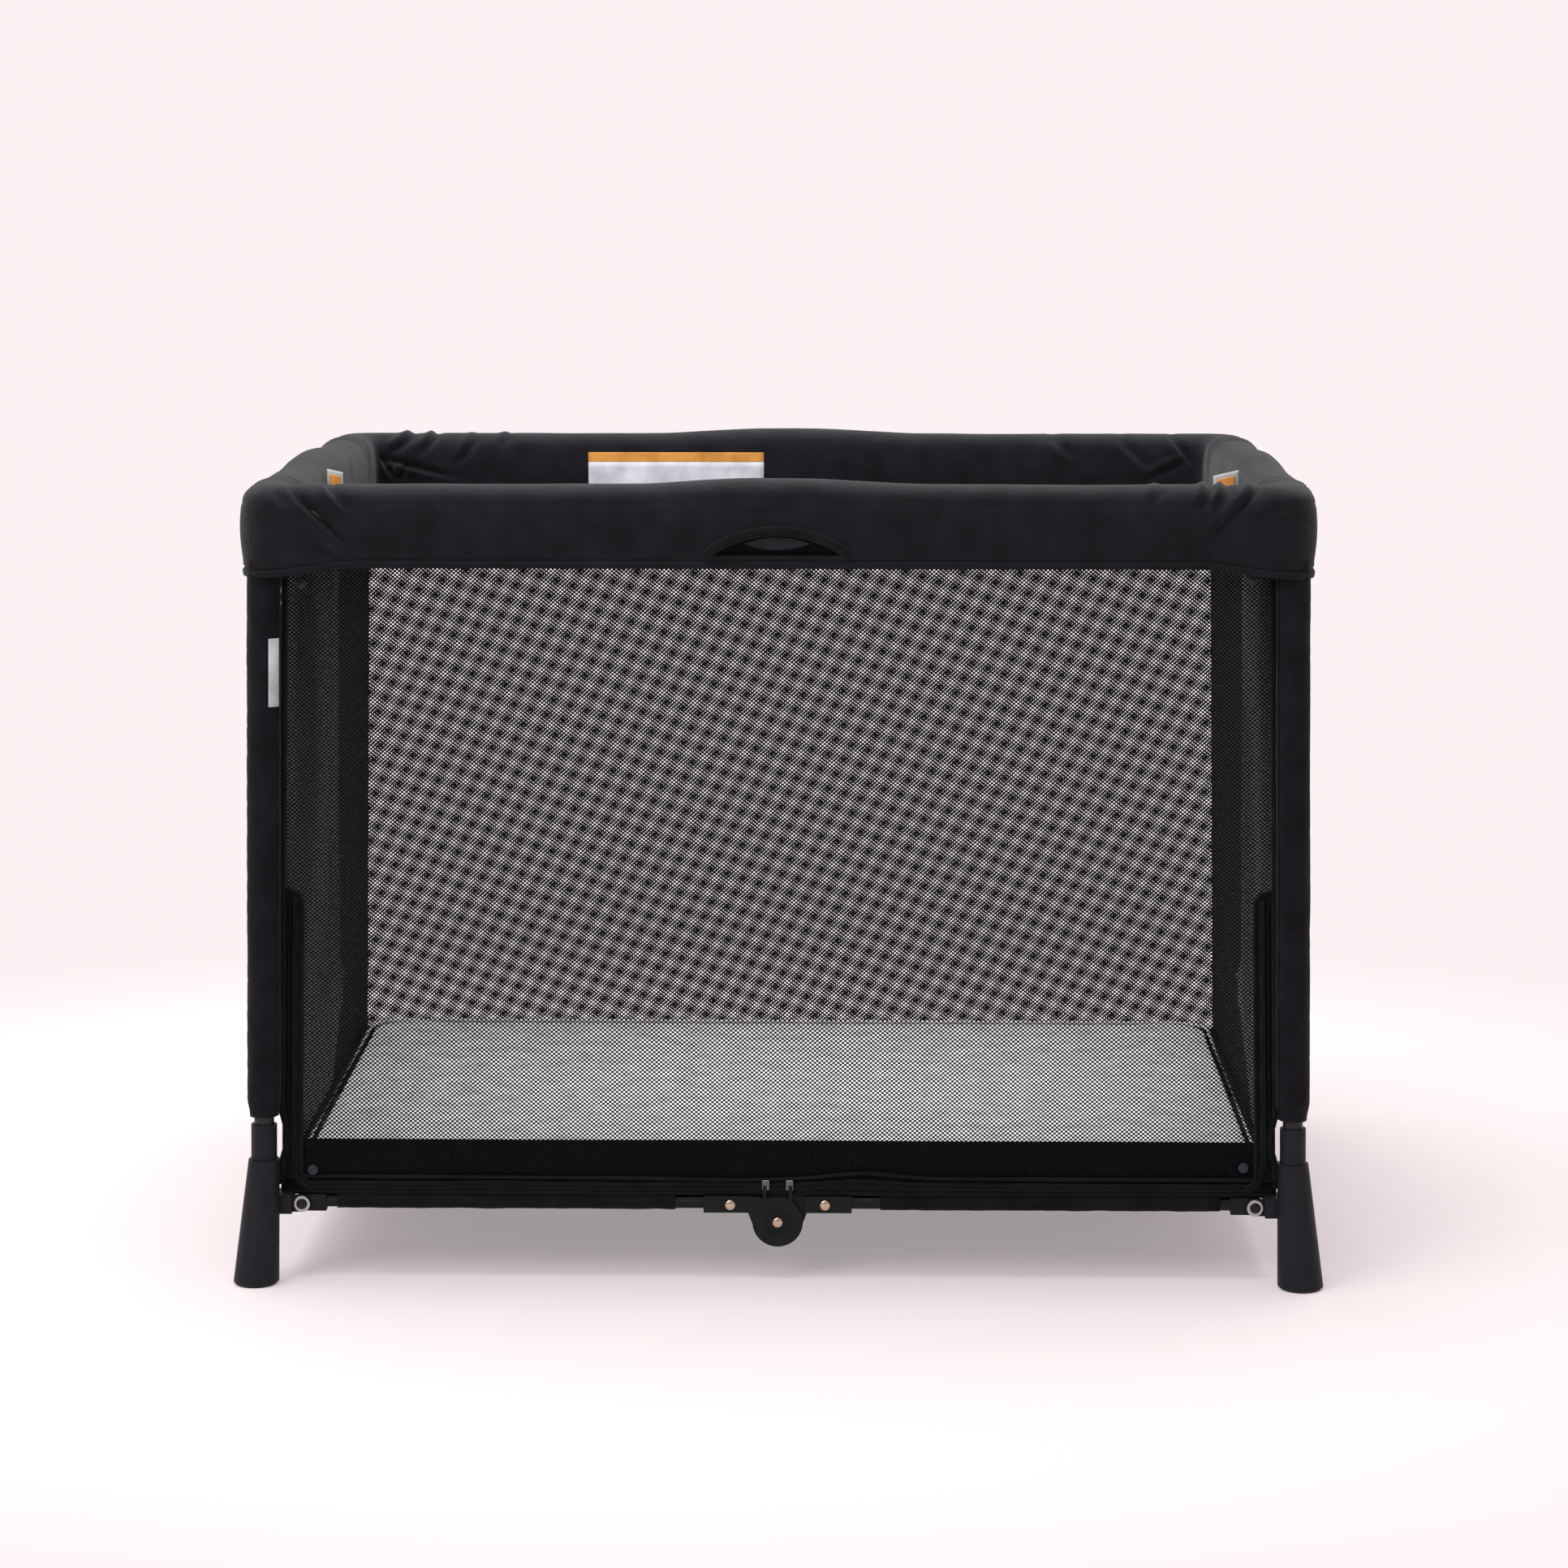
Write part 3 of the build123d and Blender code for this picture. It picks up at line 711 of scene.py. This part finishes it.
def long_wall(end, sy):
    """Front or back wall: netting to the corners, a solid band inside it, piping and welts."""
    body = "leg_front_left" if end == "front" else "leg_back_left"
    anchor = (-wall_x(WALL_FOOT), 0, 0)
    made = []
    front = end == "front"
    top = HEM + 0.012

    def billow(x, z):
        calm = 1 - (x / 0.50) ** 4
        return 0.0020 * calm * waver(x * 4, z * 4, sy * 3.0)

    def on_wall(x, z, out=0.0):
        return Vector((x, sy * (wall_y(z) + billow(x, z) + out), z))

    def edge(z):
        return wall_x(z) + 0.005 - (corner_pull(z) if front else 0.0)

    def net_point(s, t):
        x = (2 * s - 1)
        z = NET_FOOT + (top - NET_FOOT) * t
        x *= edge(z)
        return on_wall(x, z + foot_wave(x) * (1 - t) ** 6)

    net = finish_mesh(f"netting_{end}", mapped(90, 60, net_point), mesh_long if front else mesh_back, body)
    2 * wall_x(0.4)
    thicken(net, NET_THICK)
    made.append(net)
    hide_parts(f"wall_{end}")
    band_top = BAND_TOP if front else 0.106
    band = wall_sheet(f"band_{end}", 0.0945, band_top, lambda z: edge(z) - 0.002,
                      lambda x, z: on_wall(x, z, -0.0016 + 0.0006 * waver(x * 14, z * 40, 2)),
                      160, 10, band_cloth, body)
    thicken(band, 0.0009)
    made.append(band)
    flap = wall_sheet(f"foot_flap_{end}", WALL_FOOT - 0.0045, ZIP_Z + 0.003, lambda z: edge(z) - 0.002,
                      lambda x, z: on_wall(x, z, 0.0002 + 0.0010 * waver(x * 16, z * 30, 3)),
                      200, 6, band_cloth, body)
    thicken(flap, CLOTH)
    made.append(flap)
    for hand in (-1, 1):
        line = []
        for step in range(61):
            z = WALL_FOOT + 0.006 + (top - WALL_FOOT - 0.006) * step / 60
            line.append(on_wall(hand * (edge(z) - 0.002), z, 0.0012))
        made.append(path_tube(f"corner_piping_{end}_{hand}", line, 0.0036, binding_cloth, body))
        if front:
            made += side_zip(hand, on_wall, body)
    for radius, height, name in ((0.0018, NET_FOOT + 0.0012, "upper"), (0.0016, ZIP_Z - 0.0052, "lower")):
        line = []
        for step in range(121):
            x = (-1 + 2 * step / 120) * (edge(height) - 0.003)
            ripple = 0.0012 * waver(x * 12, 0, 1)
            wave = foot_wave(x) if name == "upper" else ripple
            line.append(on_wall(x, height + wave, 0.0016))
        made.append(path_tube(f"welt_{end}_{name}", line, radius, binding_cloth, body))
    if front:
        line = []
        for step in range(81):
            x = -0.470 + 0.940 * step / 80
            wave = 0.5 * foot_wave(x) + 0.0012 * waver(x * 9, 0, 5)
            line.append(on_wall(x, ZIP_Z + wave, 0.0014))
        made += zip_run("zip_foot", line, body, Vector((0, -1, 0)), 0.0062)
    for piece in made:
        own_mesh(piece)
    return made


def side_zip(hand, on_wall, body):
    """A strip with a zip beside each front corner, its inner piping bending over to the corner."""
    name = "left" if hand < 0 else "right"

    def edge(z):
        return wall_x(z) + 0.002

    foot = NET_FOOT + 0.001

    def reach(z):
        """How wide the strip is at a height: full, then closing in a quarter round."""
        over = max(0.0, z - (ZIP_SIDE_TOP - ZIP_BEND)) / ZIP_BEND
        return ZIP_STRIP * sqrt(max(0.0, 1 - over * over))

    def strip(s, t):
        z = foot + (ZIP_SIDE_TOP - foot) * (1 - (1 - t) ** 1.4)
        inset = reach(z) * (1 - s)
        puff = 0.0010 * sin(pi * s) * min(1.0, inset / 0.004)
        wrinkle = 0.0007 * waver(z * 40, s * 2, hand)
        return on_wall(hand * (edge(z) - inset), z, 0.0009 + puff + wrinkle)

    piece = finish_mesh(f"zip_strip_{name}", mapped(6, 110, strip), panel_cloth, body)
    thicken(piece, 0.0008)
    made = [piece]
    line = []
    for step in range(50):
        z = foot + (ZIP_SIDE_TOP - ZIP_BEND - foot) * step / 50
        line.append(on_wall(hand * (edge(z) - ZIP_STRIP), z, 0.0022))
    for step in range(9):
        angle = radians(90) * step / 8
        z = ZIP_SIDE_TOP - ZIP_BEND + ZIP_BEND * sin(angle)
        line.append(on_wall(hand * (edge(z) - ZIP_STRIP * cos(angle)), z, 0.0022))
    made.append(path_tube(f"zip_strip_piping_{name}", line, 0.0020, binding_cloth, body))
    side = []
    for step in range(8):
        angle = radians(90) * step / 7
        side.append(on_wall(hand * (0.470 + 0.018 * sin(angle)), ZIP_Z + 0.018 * (1 - cos(angle)), 0.0026))
    for step in range(1, 31):
        z = ZIP_Z + 0.018 + (ZIP_SIDE_TOP - 0.008 - ZIP_Z - 0.018) * step / 30
        side.append(on_wall(hand * (edge(z) - 0.0090), z, 0.0026))
    made += zip_run(f"zip_side_{name}", side, body, Vector((0, -1, 0)), 0.0050)
    return made


def zip_run(name, line, body, outward, half):
    """Zip tape with a row of meshed teeth along a path."""
    tape = path_tube(name + "_tape", line, half, binding_cloth, body, flat=0.10, sides=8)
    teeth = bmesh.new()
    pitch = 0.0024
    for first, second in zip(line, line[1:]):
        run = second - first
        count = max(1, round(run.length / pitch))
        turn = run.normalized().to_track_quat("X", "Z").to_matrix().to_4x4()
        for step in range(count):
            centre = first + run * (step + 0.5) / count + outward * 0.0008
            add_box(teeth, centre, (0.0014, 0.0038, 0.0016), turn)
    row = finish_mesh(name + "_teeth", teeth, zip_teeth, body, smooth=False)
    return [tape, row]


def end_wall(hand, sx):
    """End wall: netting to the corners, a solid band below and a welt along the netting's foot."""
    body = "leg_front_left" if hand == "left" else "leg_front_right"
    anchor = (0, -wall_y(WALL_FOOT), 0)
    made = []
    top = HEM + 0.012

    def on_wall(y, z, out=0.0):
        calm = 1 - (y / 0.35) ** 4
        wave = 0.0020 * calm * waver(y * 5, z * 4, sx * 5.0)
        return Vector((sx * (wall_x(z) + wave + out), y, z))

    net = wall_sheet(f"netting_{hand}", NET_FOOT, top, lambda z: wall_y(z) + 0.001, on_wall, 60, 60,
                     mesh_end, body)
    thicken(net, NET_THICK)
    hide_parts(f"wall_{hand}")
    made.append(net)
    band = wall_sheet(f"band_{hand}", WALL_FOOT - 0.002, NET_FOOT + 0.003, lambda z: wall_y(z) - 0.001,
                      lambda y, z: on_wall(y, z, -0.0010 + 0.0010 * waver(y * 14, z * 40, 6)),
                      120, 8, band_cloth, body)
    thicken(band, 0.0009)
    made.append(band)
    reach = wall_y(NET_FOOT) - 0.002
    line = [on_wall((-1 + 2 * step / 80) * reach, NET_FOOT, 0.0012) for step in range(81)]
    made.append(path_tube(f"welt_{hand}", line, 0.0018, binding_cloth, body, normal=(sx, 0, 0)))
    for piece in made:
        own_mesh(piece)
    return made


# ---------------------------------------------------------------- leg sleeves, bar sleeves
def make_leg_sleeves():
    low, high = box("leg_sleeve_back_right")
    radius = 0.017
    for name, sx, sy in CORNERS:
        seed = sx * 2.7 + sy * 5.1

        def place(s, t):
            z = low.z + (high.z - low.z) * t
            angle = 2 * pi * s
            size = radius - 0.0028 * smooth_step(low.z + 0.020, low.z, z)
            size += 0.0005 * waver(cos(angle) * 1.5, sin(angle) * 1.5, z * 16 + seed)
            size -= 0.0004 * crease(z + 0.010 * sin(angle * 2 + seed), angle * 0.02, 0.016, 0.05, seed)
            return leg_axis(sx, sy, z) + Vector((cos(angle), sin(angle), 0)) * size

        mesh = mapped(40, 220, place, closed=True)
        bmesh.ops.recalc_face_normals(mesh, faces=mesh.faces[:])
        piece = finish_mesh("sleeve_" + name, mesh, sleeve_cloth, "leg_" + name, "leg_sleeve_" + name)
        thicken(piece, 0.0016, -1)
        seam = []
        for step in range(90):
            z = low.z + 0.002 + (high.z - low.z - 0.004) * step / 89
            angle = radians(90) if sy > 0 else radians(-90)
            angle += radians(62) * sx * -sy * -1
            seam.append(leg_axis(sx, sy, z) + Vector((cos(angle), sin(angle), 0)) * (radius + 0.0004))
        path_tube("sleeve_seam_" + name, seam, 0.0010, binding_cloth, "leg_" + name, sides=6)


SLEEVE_NEAR = 0.104          # the bar is bare between this and the knuckle grip
SLEEVE_FAR = 0.447


def bar_sleeve(name, near, far, place, body, seed):
    """The cloth loop that holds the wall down on a lower bar."""
    loop = 0.0066

    def shape(s, t):
        along = near + (far - near) * t
        angle = 2 * pi * s
        across, up = sin(angle), cos(angle)
        tail = max(0.0, up) ** 2 * 0.0060
        pucker = 0.0006 * waver(along * 60, across * 2, seed)
        size = loop + pucker
        return place(along, across * size * (1 - 0.45 * max(0.0, up) ** 2), BAR_Z + up * size + tail)

    mesh = mapped(20, 150, shape, closed=True)
    bmesh.ops.recalc_face_normals(mesh, faces=mesh.faces[:])
    piece = finish_mesh(name, mesh, panel_cloth, body)
    thicken(piece, 0.0008, -1)


def make_bar_sleeves():
    for end, sy in ENDS:
        for hand, sx in HANDS:
            bar_sleeve(f"bar_sleeve_{end}_{hand}", SLEEVE_NEAR, SLEEVE_FAR,
                       lambda a, c, z: Vector((sx * a, sy * (BAR_Y + c), z)),
                       f"lower_{end}_{hand}", sx + 3 * sy)
    for hand, sx in HANDS:
        for end, sy in ENDS:
            bar_sleeve(f"bar_sleeve_{hand}_{end}", SLEEVE_NEAR, SLEEVE_FAR - 0.150,
                       lambda a, c, z: Vector((sx * (BAR_X + c), sy * a, z)),
                       f"lower_{hand}_{end}", 2 * sx + sy)


# ---------------------------------------------------------------- pad and floor
def swell(piece, voxel, pressure, cap):
    """Inflate a closed mesh a little with cloth, and keep the result."""
    rest = bpy.data.objects.new("swelling", piece.data.copy())
    bpy.context.scene.collection.objects.link(rest)
    remesh = rest.modifiers.new("even", "REMESH")
    remesh.mode = "VOXEL"
    remesh.voxel_size = voxel
    view = bpy.context.evaluated_depsgraph_get()
    even = bpy.data.meshes.new_from_object(rest.evaluated_get(view))
    rest.modifiers.clear()
    rest.data = even
    start = [vert.co.copy() for vert in even.vertices]
    cloth = rest.modifiers.new("cloth", "CLOTH")
    cloth.settings.use_pressure = True
    cloth.settings.uniform_pressure_force = pressure
    cloth.settings.effector_weights.gravity = 0
    cloth.settings.quality = 5
    cloth.settings.shrink_min = -0.012
    scene = bpy.context.scene
    for step in range(1, 21):
        scene.frame_set(step)
    view = bpy.context.evaluated_depsgraph_get()
    swollen = rest.evaluated_get(view).data
    ends = [vert.co.copy() for vert in swollen.vertices]
    rest.modifiers.clear()
    for vert, before, after in zip(even.vertices, start, ends):
        move = after - before
        if move.length > cap:
            move *= cap / move.length
        vert.co = before + move
    scene.frame_set(1)
    materials = list(piece.data.materials)
    piece.data = even
    piece.data.materials.clear()
    for material in materials:
        piece.data.materials.append(material)
    piece.data.polygons.foreach_set("use_smooth", [True] * len(piece.data.polygons))
    bpy.data.objects.remove(rest)
    return piece


def make_pad():
    low, high = box("mattress")
    centre = (low + high) / 2
    size = high - low
    radius = 0.036
    start = -0.002           # the cover is cut a little larger than the board inside
    lift = 0.0035            # the pad swells up by this much
    mesh = bmesh.new()
    add_box(mesh, centre, (size.x - 2 * start, size.y - 2 * start, size.z - 2 * lift))
    upright = [edge for edge in mesh.edges
               if abs(edge.verts[0].co.z - edge.verts[1].co.z) > size.z / 2]
    bmesh.ops.bevel(mesh, geom=upright, offset=radius, affect="EDGES", segments=8, profile=0.5,
                    material=-1)
    flat = [edge for edge in mesh.edges
            if abs(edge.verts[0].co.z - edge.verts[1].co.z) < 1e-6 and len(edge.link_faces) == 2
            and abs(edge.link_faces[0].normal.z - edge.link_faces[1].normal.z) > 0.5]
    bmesh.ops.bevel(mesh, geom=flat, offset=0.008, affect="EDGES", segments=3, profile=0.5,
                    material=-1)
    piece = finish_mesh("pad", mesh, pad_cloth)
    swell(piece, 0.0075, 4.0, 0.005)
    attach(piece, "mattress")
    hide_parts("mattress")
    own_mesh(piece)
    line = []
    for sx, sy, turn in ((1, -1, -90), (1, 1, 0), (-1, 1, 90), (-1, -1, 180)):
        for step in range(9):
            angle = radians(turn + 90 * step / 8)
            line.append(Vector((sx * (size.x / 2 - radius) + radius * cos(angle),
                                sy * (size.y / 2 - radius) + radius * sin(angle), high.z - 0.004)))
    edge = path_tube("pad_piping", line, 0.0022, pad_cloth, "mattress", closed=True)
    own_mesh(edge)


def make_floor():
    low, high = box("floor")
    middle = (low.z + high.z) / 2
    for end, sy in ENDS:
        for hand, sx in HANDS:
            def place(s, t):
                x, y = sx * high.x * s, sy * high.y * t
                sag = 0.0012 * waver(x * 6, y * 6, 1.0)
                return Vector((x, y, middle + sag - 0.001))

            piece = finish_mesh(f"floor_{end}_{hand}", mapped(24, 18, place), floor_cloth,
                                f"lower_{end}_{hand}")
            thicken(piece, CLOTH)
            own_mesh(piece)
            if (end, hand) == ("front", "left"):
                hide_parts("floor")


# ---------------------------------------------------------------- small parts
def make_bolts():
    """Washer and button-head bolt with a hexagon socket at each lower rail end."""
    for name, sx, sy in CORNERS:
        low, high = box("rail_bolts_" + name)
        outer_y = low.y if sy < 0 else high.y
        outer_x = low.x if sx < 0 else high.x
        long_x = (high.x if sx < 0 else low.x) + sx * 0.0087
        end_y = (high.y if sy < 0 else low.y) + sy * 0.0087
        steel, black = bmesh.new(), bmesh.new()
        for centre, axis in ((Vector((long_x, outer_y, BAR_Z)), Vector((0, sy, 0))),
                             (Vector((outer_x, end_y, BAR_Z)), Vector((sx, 0, 0)))):
            face = centre - axis * 0.0046
            drum(steel, face + axis * 0.0008, axis, 0.0087, 0.0016, 40, 0.0082)
            drum(steel, face - axis * 0.0105, axis, 0.0040, 0.021, 20)
            drum(steel, face - axis * 0.0195, axis, 0.0065, 0.003, 6)
            drum(black, face + axis * 0.0030, axis, 0.0056, 0.0028, 36, 0.0043)
            drum(black, face + axis * 0.0044, axis, 0.0031, 0.0006, 6)
        body = "leg_" + name
        piece = finish_mesh("washers_" + name, steel, bolt_steel, body, "rail_bolts_" + name, smooth=False)
        round_over(piece, 0.0004)
        head = finish_mesh("bolt_heads_" + name, black, socket_black, body, smooth=False)
        round_over(head, 0.0003)


def dome(mesh, centre, axis, radius, height):
    turn = Vector(axis).to_track_quat("Z", "Y").to_matrix().to_4x4()
    matrix = Matrix.Translation(centre) @ turn @ Matrix.Diagonal((radius, radius, height, 1))
    bmesh.ops.create_uvsphere(mesh, u_segments=24, v_segments=12, radius=1, matrix=matrix)


def make_rivets():
    """Domed rivets on the grips and the knuckle, and the recessed octagon round the knuckle pin."""
    for side, first, second in (("front", "left", "right"), ("back", "left", "right"),
                                ("left", "front", "back"), ("right", "front", "back")):
        long_side = side in ("front", "back")
        sign = -1 if side in ("front", "left") else 1
        out = (BAR_Y if long_side else BAR_X) + 0.0070
        axis = Vector((0, sign, 0)) if long_side else Vector((sign, 0, 0))

        def at(along, z, extra=0.0):
            if long_side:
                return Vector((along, sign * (out + extra), z))
            return Vector((sign * (out + extra), along, z))

        metal = bmesh.new()
        dome(metal, at(-0.048, BAR_Z, 0.0018), axis, 0.0054, 0.0022)
        dome(metal, at(0, BAR_Z - 0.018, 0.0018), axis, 0.0054, 0.0024)
        finish_mesh(f"rivets_{side}_{first}", metal, rivet_metal, f"lower_{side}_{first}")
        metal = bmesh.new()
        dome(metal, at(0.048, BAR_Z, 0.0018), axis, 0.0054, 0.0022)
        finish_mesh(f"rivets_{side}_{second}", metal, rivet_metal, f"lower_{side}_{second}")
        turns = [radians(22.5 + 45 * step) for step in range(8)]
        ring = [at(0.0128 * cos(turn), BAR_Z - 0.018 + 0.0128 * sin(turn), 0.0003) for turn in turns]
        path_tube(f"knuckle_ring_{side}", ring, 0.0011, hinge_plastic, f"lower_{side}_{first}",
                  closed=True, sides=6)


def make_sliders():
    for hand, sx in HANDS:
        low, high = box("zip_slider_" + hand)
        x = (low.x + high.x) / 2
        mesh = bmesh.new()
        add_box(mesh, (x, high.y - 0.0017, high.z - 0.0055), (0.0078, 0.0030, 0.0105))
        add_box(mesh, (x, high.y - 0.0040, high.z - 0.0050), (0.0022, 0.0018, 0.0080))
        piece = finish_mesh("slider_body_" + hand, mesh, zip_metal, "slider_" + hand,
                            "zip_slider_" + hand, smooth=False)
        round_over(piece, 0.0007, 3)
        pull = bmesh.new()
        add_box(pull, (x + sx * 0.001, low.y + 0.0007, low.z + 0.0095), (0.0036, 0.0011, 0.019))
        tab = finish_mesh("slider_pull_" + hand, pull, zip_teeth, "slider_" + hand, smooth=False)
        round_over(tab, 0.0005, 3)


def make_snaps():
    """Press studs at the corners of the front wall: a washer with a domed cap."""
    anchor = (-wall_x(WALL_FOOT), 0, 0)
    axis = Vector((0, -1, 0))
    for name, x, z in (("upper_left", -0.474, HEM - 0.011), ("upper_right", 0.470, HEM - 0.006),
                       ("lower_left", -0.471, 0.112), ("lower_right", 0.470, 0.118)):
        centre = Vector((x, -wall_y(z) - 0.0035, z))
        mesh = bmesh.new()
        drum(mesh, centre + axis * 0.0008, axis, 0.0056, 0.0014, 32, 0.0050)
        dome(mesh, centre + axis * 0.0014, axis, 0.0030, 0.0010)
        piece = finish_mesh("snap_" + name, mesh, snap_metal, "leg_front_left")
        round_over(piece, 0.0004)
        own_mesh(piece)


def make_labels():
    """Blank tags: one on a leg sleeve, one with a coloured header inside the back rim."""
    def on_leg(s, t):
        z = 0.588 + 0.068 * t
        angle = radians(-90 + 22 + 38 * s)
        return leg_axis(-1, -1, z) + Vector((cos(angle), sin(angle), 0)) * 0.0186

    piece = finish_mesh("leg_tag", mapped(8, 20, on_leg), tag_cloth, "leg_front_left")
    thicken(piece, 0.0006)
    inner = RIM_Y - RIM_THICK - 0.0045
    for name, low, high, material in (("rim_label", 0.712, 0.777, label_paper),
                                      ("rim_label_header", 0.777, 0.788, label_orange)):
        def on_rim(s, t):
            x = -0.231 + 0.202 * s
            z = low + (high - low) * t
            wave = 0.0012 * waver(x * 12, z * 12, 4)
            return Vector((x, inner - 0.0006 + wave, z))

        piece = finish_mesh(name, mapped(30, 10, on_rim), material, "top_back_left")
        thicken(piece, 0.0005)


def make_rail_tags():
    """Small folded blank tags standing out from the inside of both end rails."""
    for hand, sx, reach in (("left", -1, 0.016), ("right", 1, 0.026)):
        root = RIM_X - RIM_THICK - 0.002
        for part, low, high, material in (("tag", 0.770, 0.803, tag_cloth),
                                          ("tag_patch", 0.787, 0.798, label_orange)):
            lift = 0.0006 if part == "tag_patch" else 0.0

            def place(s, t):
                out = reach * (s if part == "tag" else 0.15 + 0.7 * s)
                z = low + (high - low) * t - 0.25 * out
                return Vector((sx * (root - out), -0.110 - lift + 0.004 * s, z))

            piece = finish_mesh(f"rail_{part}_{hand}", mapped(8, 10, place), material, f"top_{hand}_front")
            thicken(piece, 0.0005)
            wide = reach if part == "tag" else 0.7 * reach
            max(0.0112, wide)


# ---------------------------------------------------------------- materials of the CAD pieces
def paint_all():
    """Give the bare CAD pieces their finishes, by the start of their names."""
    finishes = {"leg_foot": frame_plastic, "corner_hub": hinge_plastic, "leg_tube": tube_paint,
                "top_rail": tube_paint, "latch": hinge_plastic, "release_button": button_plastic,
                "lower_rail": hinge_plastic, "rail_bolts": bolt_steel}
    for name, piece in nodes.items():
        for start, material in finishes.items():
            if name.startswith(start):
                piece.data.materials.clear()
                piece.data.materials.append(material)


# ---------------------------------------------------------------- camera, floor and light
def make_camera():
    data = bpy.data.cameras.new("camera")
    data.lens = 92.9
    data.sensor_width = 36.0
    camera = bpy.data.objects.new("camera", data)
    camera.location = (0.078, -4.334, 1.138)
    camera.rotation_euler = (radians(90 - 8.98), 0, radians(1.03))
    bpy.context.scene.collection.objects.link(camera)
    bpy.context.scene.camera = camera


def area_light(name, place, target, size, power):
    data = bpy.data.lights.new(name, "AREA")
    data.shape = "RECTANGLE"
    data.size, data.size_y = size
    data.energy = power
    lamp = bpy.data.objects.new(name, data)
    lamp.location = place
    lamp.rotation_euler = (Vector(target) - Vector(place)).to_track_quat("-Z", "Y").to_euler()
    bpy.context.scene.collection.objects.link(lamp)


def make_backdrop_paper():
    """Matt paper near the playpen that glows evenly further out."""
    paper = Finish("backdrop_paper", (0.77, 0.69, 0.70), 0.95)
    paper.set("Specular IOR Level", 0.0)
    glow = paper.node("ShaderNodeEmission", {"Color": (0.974, 0.888, 0.896, 1), "Strength": 1.0})
    away = paper.node("ShaderNodeVectorMath", {0: paper.at(scale=(0.8, 1, 1))}, operation="LENGTH")
    share = paper.node("ShaderNodeMapRange", {"Value": away.outputs["Value"], "From Min": 0.75,
                                              "From Max": 1.5, "To Min": 0.34},
                       interpolation_type="SMOOTHSTEP")
    mix = paper.node("ShaderNodeMixShader", {"Fac": share.outputs[0]})
    paper.links.new(paper.shader.outputs[0], mix.inputs[1])
    paper.links.new(glow.outputs[0], mix.inputs[2])
    paper.links.new(mix.outputs[0], paper.output.inputs["Surface"])
    return paper.material


def make_studio():
    def sweep(s, t):
        run = 12.0 * t
        x = -9 + 18 * s
        if run < 7.5:
            return Vector((x, -5 + run, 0))
        angle = min(1.0, (run - 7.5) / 2.5) * pi / 2
        if run < 10.0:
            return Vector((x, 2.5 + 2 * sin(angle), 2 * (1 - cos(angle))))
        return Vector((x, 4.5, 2 + (run - 10.0) * 3))

    backdrop = finish_mesh("backdrop", mapped(2, 96, sweep), make_backdrop_paper())
    world = bpy.data.worlds.new("studio")
    world.use_nodes = True
    back = world.node_tree.nodes["Background"]
    back.inputs["Color"].default_value = (1, 0.985, 0.985, 1)
    back.inputs["Strength"].default_value = 0.55
    bpy.context.scene.world = world
    area_light("top", (-0.3, 0.2, 3.2), (0, 0, 0.1), (3.4, 2.6), 150)
    area_light("key", (-2.4, -3.0, 3.0), (0, 0, 0.5), (2.2, 2.0), 60)
    bpy.context.scene.view_settings.view_transform = "Standard"


make_camera()
make_studio()
paint_all()
make_rim()
long_wall("front", -1)
long_wall("back", 1)
end_wall("left", -1)
end_wall("right", 1)
make_leg_sleeves()
make_bar_sleeves()
make_pad()
make_floor()
make_bolts()
make_rivets()
make_sliders()
make_snaps()
make_labels()
make_rail_tags()
